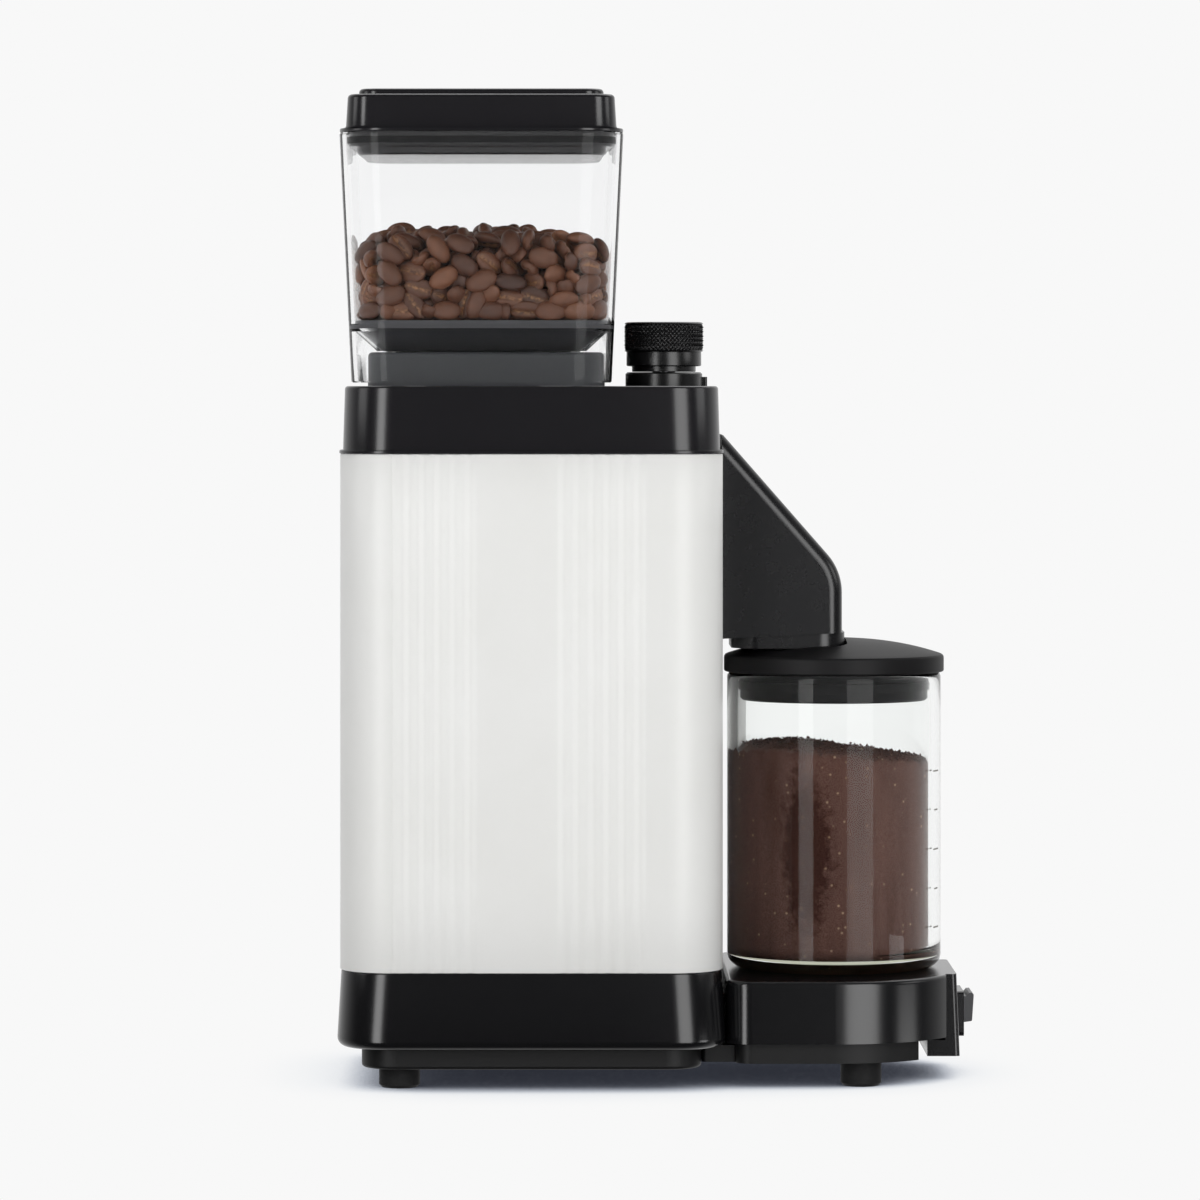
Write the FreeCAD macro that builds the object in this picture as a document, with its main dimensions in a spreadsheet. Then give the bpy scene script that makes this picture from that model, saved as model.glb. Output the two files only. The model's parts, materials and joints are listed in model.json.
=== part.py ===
import FreeCAD, Part
import Sketcher
import math
import os

# Burr coffee grinder: a square upright body with a bean hopper on top, a
# chute on its front face and a glass jar standing on a low platform.
# Millimetres.  +Z is up, +X is the front (chute, jar and switch), the origin
# is at the middle of the overall box, on the surface the feet stand on.

os.makedirs("parts", exist_ok=True)
doc = FreeCAD.newDocument("BurrCoffeeGrinder")
sheet = doc.addObject("Spreadsheet::Sheet", "Dims")

# ---------------------------------------------------------------- dimensions
DIMS = [
    # body: stations along X are measured from the body's own centre line
    ("body_cx", -43.45), ("body_w", 130.0), ("body_corner", 18.0),
    ("foot_dia", 13.9), ("foot_rear_x", -44.9), ("foot_rear_y", 44.5),
    ("foot_front_x", 112.3), ("foot_front_y", 40.0),
    ("plate_bot", 7.1), ("plate_w", 115.4), ("plate_floor", 2.5),
    ("base_bot", 14.4), ("base_top", 40.4), ("base_w_bot", 132.2),
    ("base_w_top", 129.2), ("base_wall", 3.0), ("base_floor", 4.0),
    ("sleeve_top", 215.4), ("sleeve_wall", 1.5),
    ("flute_pitch", 5.12), ("flute_count", 6), ("flute_depth", 0.40),
    ("flute_r", 4.6), ("flute_a", -46.0), ("flute_b", 11.0),
    ("cover_top", 238.3), ("cover_w_bot", 128.2), ("cover_w_top", 127.0),
    ("cover_lip_w", 130.6), ("cover_lip_top", 216.6), ("cover_wall", 2.5),
    # platform in front of the body
    ("plat_rear", 66.15), ("plat_half", 55.0), ("plat_round", 8.5),
    ("plat_arc_cx", 103.0), ("plat_front", 141.9), ("plat_bot", 15.4),
    ("plat_top", 36.6), ("plat_wall", 2.5), ("plat_edge", 1.6),
    ("plat_plate_bot", 8.5), ("plat_plate_front", 132.0),
    ("fplate_bot", 8.2), ("fplate_top", 36.4), ("fplate_half", 26.0),
    ("fplate_x_top", 145.9), ("fplate_x_bot", 147.05),
    # switch
    ("bezel_front", 149.4), ("bezel_bot", 13.4), ("bezel_top", 28.9),
    ("bezel_half", 11.6), ("rocker_x", 147.0), ("rocker_z", 21.2),
    ("rocker_half", 8.6), ("trunnion_r", 1.2),
    # hopper
    ("hop_cx", -17.2), ("hop_w_top", 97.2), ("hop_w_bot", 89.2),
    ("hop_wall", 2.0), ("hop_bot", 239.5), ("hop_top", 325.0),
    ("hop_corner", 16.0), ("hop_floor_bot", 258.0), ("hop_floor_top", 260.7),
    ("throat_r", 20.0), ("throat_wall", 2.5), ("throat_bot", 234.0),
    ("beans_top", 289.0), ("collar_cx", -15.6), ("collar_w", 81.3),
    ("collar_top", 249.9), ("collar_bore", 24.0),
    ("lid_flange_w", 97.0), ("lid_flange_t", 1.2), ("lid_w_bot", 92.3),
    ("lid_w_top", 91.0), ("lid_shoulder", 337.8), ("lid_top", 339.8),
    ("lid_panel_w", 83.6), ("lid_corner", 7.2), ("plug_w", 85.6), ("plug_bot", 317.2),
    ("plug_step", 320.1), ("plug_w_top", 91.0),
    # grind setting knob
    ("knob_cx", 45.8), ("knob_r", 13.7), ("knob_neck_r", 13.0),
    ("knob_spigot_r", 11.1), ("knob_ring_r", 13.35), ("knob_ring_top", 243.1),
    ("knob_neck_bot", 245.3), ("knob_grip_bot", 250.2), ("knob_top", 260.5),
    ("knob_shaft_r", 4.0),
    # chute
    ("chute_rear", 65.4), ("chute_half", 24.0), ("chute_top", 221.6),
    ("chute_front", 106.8), ("chute_knee_z", 174.7), ("chute_round", 20.0),
    ("chute_wall", 2.5), ("chute_bot_rear", 151.4), ("chute_bot_front", 153.4),
    ("chute_edge", 4.5),
    ("spout_rear", 68.8), ("spout_front", 107.9), ("spout_bot", 148.0),
    ("spout_half", 23.0), ("spout_wall", 3.2),
    # jar
    ("jar_cx", 104.9), ("jar_r", 37.1), ("jar_wall", 3.6), ("jar_bot", 36.7),
    ("jar_top", 139.1), ("jar_base", 4.6), ("jar_round", 5.0),
    ("jlid_r", 38.2), ("jlid_bot", 139.2), ("jlid_rim", 145.3),
    ("jlid_top", 150.8), ("jplug_r", 32.6), ("jplug_bot", 129.5),
    ("grounds_r", 32.6), ("grounds_top", 114.0),
    # motor and drive train
    ("burr_cx", -17.2), ("gear_module", 1.1), ("pinion_teeth", 14),
    ("gear_teeth", 56), ("gear_bot", 179.5), ("gear_top", 187.5),
    ("deck_bot", 172.0), ("deck_top", 176.0), ("motor_r", 31.0),
    ("motor_bot", 106.0), ("motor_wall", 2.0), ("motor_cap_bot", 100.0),
    ("motor_shaft_r", 3.0), ("rotor_r", 19.0), ("burr_shaft_r", 5.0),
    ("bearing_r", 11.0), ("gbox_top", 193.0), ("run_gap", 0.05),
    ("chamber_r", 38.0), ("chamber_bore", 34.0), ("chamber_top", 217.0),
    ("burr_r", 24.5), ("burr_bore", 13.0), ("burr_gap", 1.0),
    ("lower_burr_bot", 203.0), ("burr_t", 5.0),
    ("ring_module", 1.5), ("ring_teeth", 66), ("knob_pinion_teeth", 18),
    ("ring_bot", 217.4), ("ring_top", 231.0), ("sector_bot", 224.0),
    ("sector_top", 230.0),
    ("duct_bot", 195.0), ("duct_top", 211.0), ("duct_half", 11.0),
    ("duct_wall", 2.0),
    ("screw_r", 1.5), ("screw_head_r", 2.8),
]


class Q:
    """A length with its number and its spreadsheet expression."""

    def __init__(self, v, e):
        self.v = float(v)
        self.e = e

    @staticmethod
    def of(a):
        return a if isinstance(a, Q) else Q(a, "%.6g" % a)

    def op(self, b, s, v):
        b = Q.of(b)
        return Q(v(self.v, b.v), "(%s %s %s)" % (self.e, s, b.e))

    def __add__(self, b):
        return self.op(b, "+", lambda p, q: p + q)

    def __sub__(self, b):
        return self.op(b, "-", lambda p, q: p - q)

    def __mul__(self, b):
        return self.op(b, "*", lambda p, q: p * q)

    def __truediv__(self, b):
        return self.op(b, "/", lambda p, q: p / q)

    def __neg__(self):
        return Q(-self.v, "(0 - %s)" % self.e)

    def __radd__(self, a):
        return Q.of(a) + self

    def __rsub__(self, a):
        return Q.of(a) - self

    def __rmul__(self, a):
        return Q.of(a) * self


D = {}
for n, (alias, value) in enumerate(DIMS, start=1):
    cell = "B%d" % n
    sheet.set("A%d" % n, alias)
    sheet.set(cell, "%.6g" % value)
    sheet.setAlias(cell, alias)
    D[alias] = Q(value, "Dims." + alias)
doc.recompute()


def d(alias):
    return D[alias]


def X(a):
    """Station measured from the body's centre line, in the part's frame."""
    return d("body_cx") + a


def val(a):
    return a.v if isinstance(a, Q) else float(a)


def bind(obj, prop, a):
    if isinstance(a, Q):
        obj.setExpression(prop, a.e)


nodes = []


def node(obj, label):
    obj.Label = label
    nodes.append(obj)
    return obj


# ------------------------------------------------------- Part building blocks
def place(obj, x=0, y=0, z=0, rot=None):
    r = rot if rot is not None else FreeCAD.Rotation()
    obj.Placement = FreeCAD.Placement(
        FreeCAD.Vector(val(x), val(y), val(z)), r)
    bind(obj, "Placement.Base.x", x)
    bind(obj, "Placement.Base.y", y)
    bind(obj, "Placement.Base.z", z)
    return obj


def box(name, x0, x1, y0, y1, z0, z1):
    o = doc.addObject("Part::Box", name)
    for p, a, b in (("Length", x0, x1), ("Width", y0, y1), ("Height", z0, z1)):
        size = Q.of(b) - Q.of(a)
        setattr(o, p, size.v)
        bind(o, p, size)
    return place(o, x0, y0, z0)


def cyl(name, x, y, z0, z1, r, axis="Z"):
    o = doc.addObject("Part::Cylinder", name)
    size = Q.of(z1) - Q.of(z0)
    o.Radius = val(r)
    bind(o, "Radius", r)
    o.Height = size.v
    bind(o, "Height", size)
    if axis == "Z":
        return place(o, x, y, z0)
    if axis == "X":      # x is the height, y is Y, z0..z1 run along X
        return place(o, z0, y, x,
                     FreeCAD.Rotation(FreeCAD.Vector(0, 1, 0), 90))
    return place(o, y, z0, x, FreeCAD.Rotation(FreeCAD.Vector(1, 0, 0), -90))


def cone(name, x, y, z0, z1, r0, r1):
    o = doc.addObject("Part::Cone", name)
    size = Q.of(z1) - Q.of(z0)
    o.Radius1 = val(r0)
    o.Radius2 = val(r1)
    o.Height = size.v
    bind(o, "Radius1", r0)
    bind(o, "Radius2", r1)
    bind(o, "Height", size)
    return place(o, x, y, z0)


def fuse(name, shapes):
    o = doc.addObject("Part::MultiFuse", name)
    o.Shapes = shapes
    return o


def cut(name, base, tools):
    o = doc.addObject("Part::Cut", name)
    o.Base = base
    o.Tool = tools[0] if len(tools) == 1 else fuse(name + "_tools", tools)
    return o


def common(name, a, b):
    o = doc.addObject("Part::Common", name)
    o.Base = a
    o.Tool = b
    return o


def group(name, shapes):
    o = doc.addObject("Part::Compound", name)
    o.Links = shapes
    return o


# ------------------------------------------------- PartDesign building blocks
def role_plane(body, role):
    for o in body.Origin.OriginFeatures:
        if o.Role == role:
            return o
    raise RuntimeError("no origin plane " + role)


def new_body(name, x=0, y=0, z=0):
    b = doc.addObject("PartDesign::Body", name)
    return place(b, x, y, z)


def sketch(body, name, plane="XY_Plane", offset=0):
    s = body.newObject("Sketcher::SketchObject", name)
    s.AttachmentSupport = [(role_plane(body, plane), "")]
    s.MapMode = "FlatFace"
    s.AttachmentOffset = FreeCAD.Placement(
        FreeCAD.Vector(0, 0, val(offset)), FreeCAD.Rotation())
    bind(s, "AttachmentOffset.Base.z", offset)
    return s


def coord(s, geo, pos, kind, a):
    """Pin one coordinate of a sketch point to a value or a sheet cell."""
    a = Q.of(a)
    if abs(a.v) < 1e-9:
        line = -2 if kind == "DistanceX" else -1
        s.addConstraint(Sketcher.Constraint("PointOnObject", geo, pos, line))
        return
    if a.v > 0:
        i = s.addConstraint(Sketcher.Constraint(kind, -1, 1, geo, pos, a.v))
        s.setExpression("Constraints[%d]" % i, a.e)
    else:
        i = s.addConstraint(Sketcher.Constraint(kind, geo, pos, -1, 1, -a.v))
        s.setExpression("Constraints[%d]" % i, (-a).e)


def poly(s, pts):
    """Closed polygon through the given (x, y) pairs."""
    v = [FreeCAD.Vector(val(x), val(y), 0) for x, y in pts]
    n = len(v)
    first = s.GeometryCount
    for k in range(n):
        s.addGeometry(Part.LineSegment(v[k], v[(k + 1) % n]), False)
    for k in range(n):
        s.addConstraint(Sketcher.Constraint(
            "Coincident", first + k, 2, first + (k + 1) % n, 1))
    for k, (x, y) in enumerate(pts):
        coord(s, first + k, 1, "DistanceX", x)
        coord(s, first + k, 1, "DistanceY", y)


def circle(s, x, y, r):
    g = s.addGeometry(Part.Circle(FreeCAD.Vector(val(x), val(y), 0),
                                  FreeCAD.Vector(0, 0, 1), val(r)), False)
    coord(s, g, 3, "DistanceX", x)
    coord(s, g, 3, "DistanceY", y)
    i = s.addConstraint(Sketcher.Constraint("Radius", g, val(r)))
    bind(s, "Constraints[%d]" % i, r)
    return g


def rrect(s, cx, cy, w, hgt, r):
    """Rectangle with equal round corners, centred on (cx, cy)."""
    x0, x1 = val(cx) - val(w) / 2, val(cx) + val(w) / 2
    y0, y1 = val(cy) - val(hgt) / 2, val(cy) + val(hgt) / 2
    q = val(r)
    V = FreeCAD.Vector
    f = s.GeometryCount
    s.addGeometry(Part.LineSegment(V(x0 + q, y0, 0), V(x1 - q, y0, 0)), False)
    s.addGeometry(Part.LineSegment(V(x1, y0 + q, 0), V(x1, y1 - q, 0)), False)
    s.addGeometry(Part.LineSegment(V(x1 - q, y1, 0), V(x0 + q, y1, 0)), False)
    s.addGeometry(Part.LineSegment(V(x0, y1 - q, 0), V(x0, y0 + q, 0)), False)
    for cxx, cyy, a0 in ((x1 - q, y0 + q, -90), (x1 - q, y1 - q, 0),
                         (x0 + q, y1 - q, 90), (x0 + q, y0 + q, 180)):
        s.addGeometry(Part.ArcOfCircle(
            Part.Circle(V(cxx, cyy, 0), V(0, 0, 1), q),
            math.radians(a0), math.radians(a0 + 90)), False)
    for k in range(4):
        arc, before, after = f + 4 + k, f + k, f + (k + 1) % 4
        s.addConstraint(Sketcher.Constraint("Tangent", before, 2, arc, 1))
        s.addConstraint(Sketcher.Constraint("Tangent", arc, 2, after, 1))
    for k in (0, 2):
        s.addConstraint(Sketcher.Constraint("Horizontal", f + k))
    for k in (1, 3):
        s.addConstraint(Sketcher.Constraint("Vertical", f + k))
    for k in (5, 6, 7):
        s.addConstraint(Sketcher.Constraint("Equal", f + 4, f + k))
    i = s.addConstraint(Sketcher.Constraint("Radius", f + 4, q))
    bind(s, "Constraints[%d]" % i, r)
    coord(s, f + 1, 1, "DistanceX", Q.of(cx) + Q.of(w) / 2)
    coord(s, f + 3, 1, "DistanceX", Q.of(cx) - Q.of(w) / 2)
    coord(s, f + 2, 1, "DistanceY", Q.of(cy) + Q.of(hgt) / 2)
    coord(s, f + 0, 1, "DistanceY", Q.of(cy) - Q.of(hgt) / 2)


def pad(body, s, length, kind="PartDesign::Pad", rev=False, mid=False):
    p = body.newObject(kind, s.Name + "_" + kind.split("::")[1])
    p.Profile = s
    p.Length = val(length)
    bind(p, "Length", length)
    p.Reversed = rev
    if mid:
        p.Midplane = True
    body.Tip = p
    return p


def pocket(body, s, length, rev=False, mid=False):
    before = body_volume(body)
    p = pad(body, s, length, "PartDesign::Pocket", rev, mid)
    after = body_volume(body)
    if not 1e-3 < after < before - 1e-3:
        raise RuntimeError("pocket cuts nothing: %s %g %g %s %s" % (
            s.Name, before, after, p.State, s.State))
    return p


def body_volume(body):
    doc.recompute()
    return 0.0 if body.Shape.isNull() else body.Shape.Volume


def revolve(body, s, cutting=False):
    kind = "PartDesign::Groove" if cutting else "PartDesign::Revolution"
    before = body_volume(body) if cutting else 0
    p = body.newObject(kind, s.Name + "_rev")
    p.Profile = s
    p.ReferenceAxis = (s, ["V_Axis"])
    p.Angle = 360
    body.Tip = p
    if cutting and not body_volume(body) < before - 1e-3:
        raise RuntimeError("groove cuts nothing: " + s.Name)
    return p


def loft(body, sections, cutting=False):
    kind = "PartDesign::SubtractiveLoft" if cutting else \
        "PartDesign::AdditiveLoft"
    before = body_volume(body) if cutting else 0
    p = body.newObject(kind, sections[0].Name + "_loft")
    p.Profile = sections[0]
    p.Sections = sections[1:]
    p.Ruled = True
    body.Tip = p
    if cutting and not body_volume(body) < before - 1e-3:
        raise RuntimeError("loft cuts nothing: " + sections[0].Name)
    return p


def round_edges(body, pick, r, kind="PartDesign::Fillet"):
    """Fillet or chamfer the tip's edges that pick(edge) accepts."""
    before = body_volume(body)
    base = body.Tip
    names = []
    for k, e in enumerate(base.Shape.Edges, start=1):
        if pick(e):
            names.append("Edge%d" % k)
    if not names:
        raise RuntimeError("no edge to round on " + body.Name)
    f = body.newObject(kind, body.Name + "_edge%d" % len(body.Group))
    f.Base = (base, names)
    if kind.endswith("Fillet"):
        f.Radius = val(r)
        bind(f, "Radius", r)
    else:
        f.Size = val(r)
        bind(f, "Size", r)
    body.Tip = f
    after = body_volume(body)
    if abs(after - before) > 0.08 * before or not body.Shape.isValid():
        raise RuntimeError("bad edge rounding: %s %g %g" % (
            body.Name, before, after))
    return f


def at_z(z, tol=0.02):
    z = val(z)

    def pick(e):
        return all(abs(v.Point.z - z) < tol for v in e.Vertexes) and \
            abs(e.BoundBox.ZMin - z) < tol and abs(e.BoundBox.ZMax - z) < tol
    return pick


def both(*picks):
    return lambda e: all(p(e) for p in picks)


def outside(half):
    """Edges at least this far out from the body axis in X or Y."""
    def pick(e):
        b = e.BoundBox
        return max(abs(b.XMin), abs(b.XMax), abs(b.YMin), abs(b.YMax)) > half
    return pick


def turned(name, x, y, profile, z=0):
    """A round piece: closed (radius, height) profile turned about its axis."""
    b = new_body(name, x, y, z)
    s = sketch(b, name + "_profile", "XZ_Plane")
    poly(s, profile)
    revolve(b, s)
    return b


def polar(body, feature, count):
    p = body.newObject("PartDesign::PolarPattern", feature.Name + "_round")
    p.Originals = [feature]
    axis = [o for o in body.Origin.OriginFeatures if o.Role == "Z_Axis"][0]
    p.Axis = (axis, [""])
    p.Angle = 360
    p.Occurrences = int(val(count))
    bind(p, "Occurrences", count)
    body.Tip = p
    return p


# ============================================================ base and bottom
bw = d("body_w")

b = new_body("BaseHousing", X(0))
secs = []
for k, (dz, dw) in enumerate(((0.0, 6.0), (0.35, 3.9), (1.2, 1.9),
                              (2.5, 0.5), (4.0, 0.0))):
    s0 = sketch(b, "base_foot%d" % k, offset=d("base_bot") + dz)
    rrect(s0, 0, 0, d("base_w_bot") - dw, d("base_w_bot") - dw,
          d("body_corner") - dw / 2)
    secs.append(s0)
s1 = sketch(b, "base_rim", offset=d("base_top"))
rrect(s1, 0, 0, d("base_w_top"), d("base_w_top"), d("body_corner"))
loft(b, secs + [s1])
s2 = sketch(b, "base_inside", offset=d("base_top"))
rrect(s2, 0, 0, d("base_w_top") - 2 * d("base_wall"),
      d("base_w_top") - 2 * d("base_wall"), d("body_corner") - d("base_wall"))
pocket(b, s2, d("base_top") - d("base_bot") - d("base_floor"))
s3 = sketch(b, "base_bolt_holes", offset=d("base_bot") + d("base_floor"))
for sx in (-46, 46):
    for sy in (-46, 46):
        circle(s3, sx, sy, d("screw_r") + 0.1)
pocket(b, s3, d("base_floor"))
s6 = sketch(b, "board_posts", offset=d("base_bot") + 1.0)
s7 = sketch(b, "board_pins", offset=d("base_bot") + 1.0)
for sx in (-44, 16):
    for sy in (-23, 23):
        circle(s6, sx, sy, 3.2)
        circle(s7, sx, sy, 1.5)
pad(b, s6, 26.0 - d("base_bot") - 1.0)
pad(b, s7, 28.6 - d("base_bot") - 1.0)
s4 = sketch(b, "gland_hole", "YZ_Plane", offset=-70)
circle(s4, 30, 27, 6.5)
pocket(b, s4, 12, rev=True)
s5 = sketch(b, "cable_way", "YZ_Plane", offset=70)
rrect(s5, 0, 26, 24, 8, 2)
pocket(b, s5, 12)
node(b, "base_housing")

b = new_body("BottomPlate", X(0))
s0 = sketch(b, "plate_outline", offset=d("plate_bot"))
rrect(s0, 0, 0, d("plate_w"), d("plate_w"), 12)
pad(b, s0, d("base_bot") - d("plate_bot"))
round_edges(b, at_z(d("plate_bot")), 1.2)
s1 = sketch(b, "plate_inside", offset=d("base_bot"))
rrect(s1, 0, 0, d("plate_w") - 5, d("plate_w") - 5, 9.5)
pocket(b, s1, d("base_bot") - d("plate_bot") - d("plate_floor"))
s2 = sketch(b, "plate_posts", offset=d("plate_bot") + d("plate_floor"))
for sx in (-46, 46):
    for sy in (-46, 46):
        circle(s2, sx, sy, 5)
pad(b, s2, d("base_bot") - d("plate_bot") - d("plate_floor"))
s3 = sketch(b, "plate_bolt_holes", offset=d("base_bot"))
for sx in (-46, 46):
    for sy in (-46, 46):
        circle(s3, sx, sy, d("screw_r") + 0.1)
pocket(b, s3, d("base_bot") - d("plate_bot"))
s4 = sketch(b, "plate_head_seats", offset=d("plate_bot"))
for sx in (-46, 46):
    for sy in (-46, 46):
        circle(s4, sx, sy, d("screw_head_r") + 0.2)
pocket(b, s4, 2.2, rev=True)
s5 = sketch(b, "plate_vents", offset=d("plate_bot"))
for k in range(7):
    rrect(s5, -18 + 6 * k, 0, 2.6, 40, 1.25)
pocket(b, s5, 3, rev=True)
node(b, "bottom_plate")


def screw(name, x, y, seat, tip, r, head_r, head_h, up=True):
    """Cap screw: head below its seat when it is driven upwards."""
    if up:
        a = cyl(name + "_head", x, y, Q.of(seat) - head_h, seat, head_r)
        c = cyl(name + "_shank", x, y, seat, tip, r)
        k = cyl(name + "_socket", x, y, Q.of(seat) - head_h,
                Q.of(seat) - head_h + 1.2, head_r * 0.5)
    else:
        a = cyl(name + "_head", x, y, seat, Q.of(seat) + head_h, head_r)
        c = cyl(name + "_shank", x, y, tip, seat, r)
        k = cyl(name + "_socket", x, y, Q.of(seat) + head_h - 1.2,
                Q.of(seat) + head_h, head_r * 0.5)
    return cut(name, fuse(name + "_blank", [a, c]), [k])


screws = []
for i, sx in enumerate((-46, 46)):
    for j, sy in enumerate((-46, 46)):
        screws.append(screw("BaseScrew%d%d" % (i, j), X(sx), sy,
                            d("plate_bot") + 2.2, d("base_bot") + 3.6,
                            d("screw_r"), d("screw_head_r"), 2.0))

feet = []
for i, (sx, sy, top) in enumerate((
        (d("foot_rear_x"), d("foot_rear_y"), d("plate_bot")),
        (d("foot_rear_x"), -d("foot_rear_y"), d("plate_bot")),
        (d("foot_front_x"), d("foot_front_y"), d("plat_plate_bot")),
        (d("foot_front_x"), -d("foot_front_y"), d("plat_plate_bot")))):
    h = turned("Foot%d" % i, X(sx), sy, [
        (0, 0), (d("foot_dia") / 2 - 1.0, 0), (d("foot_dia") / 2, 1.0),
        (d("foot_dia") / 2, top), (0, top)])
    feet.append(h)
node(group("RubberFeet", feet), "rubber_feet")


# --------------------------------------------------------- platform and plate
def platform_outline(s, inset, front):
    """Round-cornered rear, straight sides and a round front cut flat."""
    spread = 10.0
    rear, half = d("plat_rear") + inset, d("plat_half") - inset
    rr = d("plat_round") - inset
    cxx = d("plat_arc_cx")
    R = half - spread
    V = FreeCAD.Vector
    ang = math.acos((val(front) - val(cxx)) / val(R))
    x0, yh, q = val(rear), val(half), val(rr)
    fy = spread + math.sqrt(val(R) ** 2 - (val(front) - val(cxx)) ** 2)
    f = s.GeometryCount
    s.addGeometry(Part.LineSegment(V(x0, yh - q, 0), V(x0, -(yh - q), 0)))
    s.addGeometry(Part.ArcOfCircle(
        Part.Circle(V(x0 + q, -(yh - q), 0), V(0, 0, 1), q),
        math.pi, 1.5 * math.pi))
    s.addGeometry(Part.LineSegment(V(x0 + q, -yh, 0), V(val(cxx), -yh, 0)))
    s.addGeometry(Part.ArcOfCircle(
        Part.Circle(V(val(cxx), -spread, 0), V(0, 0, 1), val(R)),
        -math.pi / 2, -ang))
    s.addGeometry(Part.LineSegment(V(val(front), -fy, 0),
                                   V(val(front), fy, 0)))
    s.addGeometry(Part.ArcOfCircle(
        Part.Circle(V(val(cxx), spread, 0), V(0, 0, 1), val(R)),
        ang, math.pi / 2))
    s.addGeometry(Part.LineSegment(V(val(cxx), yh, 0), V(x0 + q, yh, 0)))
    s.addGeometry(Part.ArcOfCircle(
        Part.Circle(V(x0 + q, yh - q, 0), V(0, 0, 1), q),
        math.pi / 2, math.pi))
    C = Sketcher.Constraint
    s.addConstraint(C("Tangent", f + 0, 2, f + 1, 1))
    s.addConstraint(C("Tangent", f + 1, 2, f + 2, 1))
    s.addConstraint(C("Tangent", f + 2, 2, f + 3, 1))
    s.addConstraint(C("Coincident", f + 3, 2, f + 4, 1))
    s.addConstraint(C("Coincident", f + 4, 2, f + 5, 1))
    s.addConstraint(C("Tangent", f + 5, 2, f + 6, 1))
    s.addConstraint(C("Tangent", f + 6, 2, f + 7, 1))
    s.addConstraint(C("Tangent", f + 7, 2, f + 0, 1))
    s.addConstraint(C("Vertical", f + 0))
    s.addConstraint(C("Vertical", f + 4))
    s.addConstraint(C("Horizontal", f + 2))
    s.addConstraint(C("Horizontal", f + 6))
    s.addConstraint(C("Equal", f + 1, f + 7))
    s.addConstraint(C("Symmetric", f + 3, 3, f + 5, 3, -1))
    s.addConstraint(C("DistanceY", f + 3, 3, f + 5, 3, 2 * spread))
    s.addConstraint(C("Equal", f + 3, f + 5))
    i = s.addConstraint(C("Radius", f + 1, q))
    bind(s, "Constraints[%d]" % i, rr)
    i = s.addConstraint(C("Radius", f + 3, val(R)))
    bind(s, "Constraints[%d]" % i, R)
    coord(s, f + 0, 1, "DistanceX", rear)
    coord(s, f + 3, 3, "DistanceX", cxx)
    coord(s, f + 4, 1, "DistanceX", front)


b = new_body("JarPlatform", X(0))
s0 = sketch(b, "platform_outline", offset=d("plat_bot"))
platform_outline(s0, 0, d("plat_front"))
pad(b, s0, d("plat_top") - d("plat_bot"))
round_edges(b, lambda e: at_z(d("plat_top"))(e) and not (
    len(e.Vertexes) == 2 and abs(e.BoundBox.XMax - val(d("plat_front"))) < .01
    and abs(e.BoundBox.XMin - val(d("plat_front"))) < .01) and not (
    abs(e.BoundBox.XMax - val(d("plat_rear"))) < .01), d("plat_edge"))
s1 = sketch(b, "platform_inside", offset=d("plat_bot"))
platform_outline(s1, d("plat_wall"), d("plat_front") - d("plat_wall"))
pocket(b, s1, d("plat_top") - d("plat_bot") - d("plat_wall"), rev=True)
s2 = sketch(b, "switch_window", "YZ_Plane", offset=d("plat_front") + 5)
rrect(s2, 0, 21.2, 20.6, 14.6, 0.2)
pocket(b, s2, 10)
s3 = sketch(b, "platform_cable_way", "YZ_Plane", offset=d("plat_rear") - 5)
rrect(s3, 0, 26, 24, 8, 2)
pocket(b, s3, 10, rev=True)
s4 = sketch(b, "platform_bosses", offset=d("plat_top") - d("plat_wall"))
for sx in (82, 122):
    for sy in (-30, 30):
        circle(s4, sx, sy, 4.0)
pad(b, s4, d("plat_top") - d("plat_wall") - d("plat_bot"), rev=True)
s5 = sketch(b, "platform_boss_bores", offset=d("plat_bot"))
for sx in (82, 122):
    for sy in (-30, 30):
        circle(s5, sx, sy, d("screw_r"))
pocket(b, s5, 12, rev=True)
node(b, "jar_platform")

b = new_body("PlatformBottom", X(0))
s0 = sketch(b, "pplate_outline", offset=d("plat_plate_bot"))
platform_outline(s0, 3.2, d("plat_plate_front"))
pad(b, s0, d("plat_bot") - d("plat_plate_bot"))
s1 = sketch(b, "pplate_inside", offset=d("plat_bot"))
platform_outline(s1, 5.7, d("plat_plate_front") - 2.5)
pocket(b, s1, d("plat_bot") - d("plat_plate_bot") - d("plate_floor"))
st = sketch(b, "pplate_rear_tongue", offset=d("plat_plate_bot"))
rrect(st, 64.2, 0, 12.6, 92, 1.5)
pad(b, st, 5.7)
s2 = sketch(b, "pplate_posts", offset=d("plat_plate_bot") + d("plate_floor"))
for sx in (82, 122):
    for sy in (-30, 30):
        circle(s2, sx, sy, 4.5)
pad(b, s2, d("plat_bot") - d("plat_plate_bot") - d("plate_floor"))
s3 = sketch(b, "pplate_holes", offset=d("plat_bot"))
for sx in (82, 122):
    for sy in (-30, 30):
        circle(s3, sx, sy, d("screw_r") + 0.1)
pocket(b, s3, 10)
s4 = sketch(b, "pplate_seats", offset=d("plat_plate_bot"))
for sx in (82, 122):
    for sy in (-30, 30):
        circle(s4, sx, sy, d("screw_head_r") + 0.2)
pocket(b, s4, 2.2, rev=True)
node(b, "platform_bottom_plate")

for i, sx in enumerate((82, 122)):
    for j, sy in enumerate((-30, 30)):
        screws.append(screw("PlatScrew%d%d" % (i, j), X(sx), sy,
                            d("plat_plate_bot") + 2.2, d("plat_bot") + 8,
                            d("screw_r"), d("screw_head_r"), 2.0))

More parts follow.
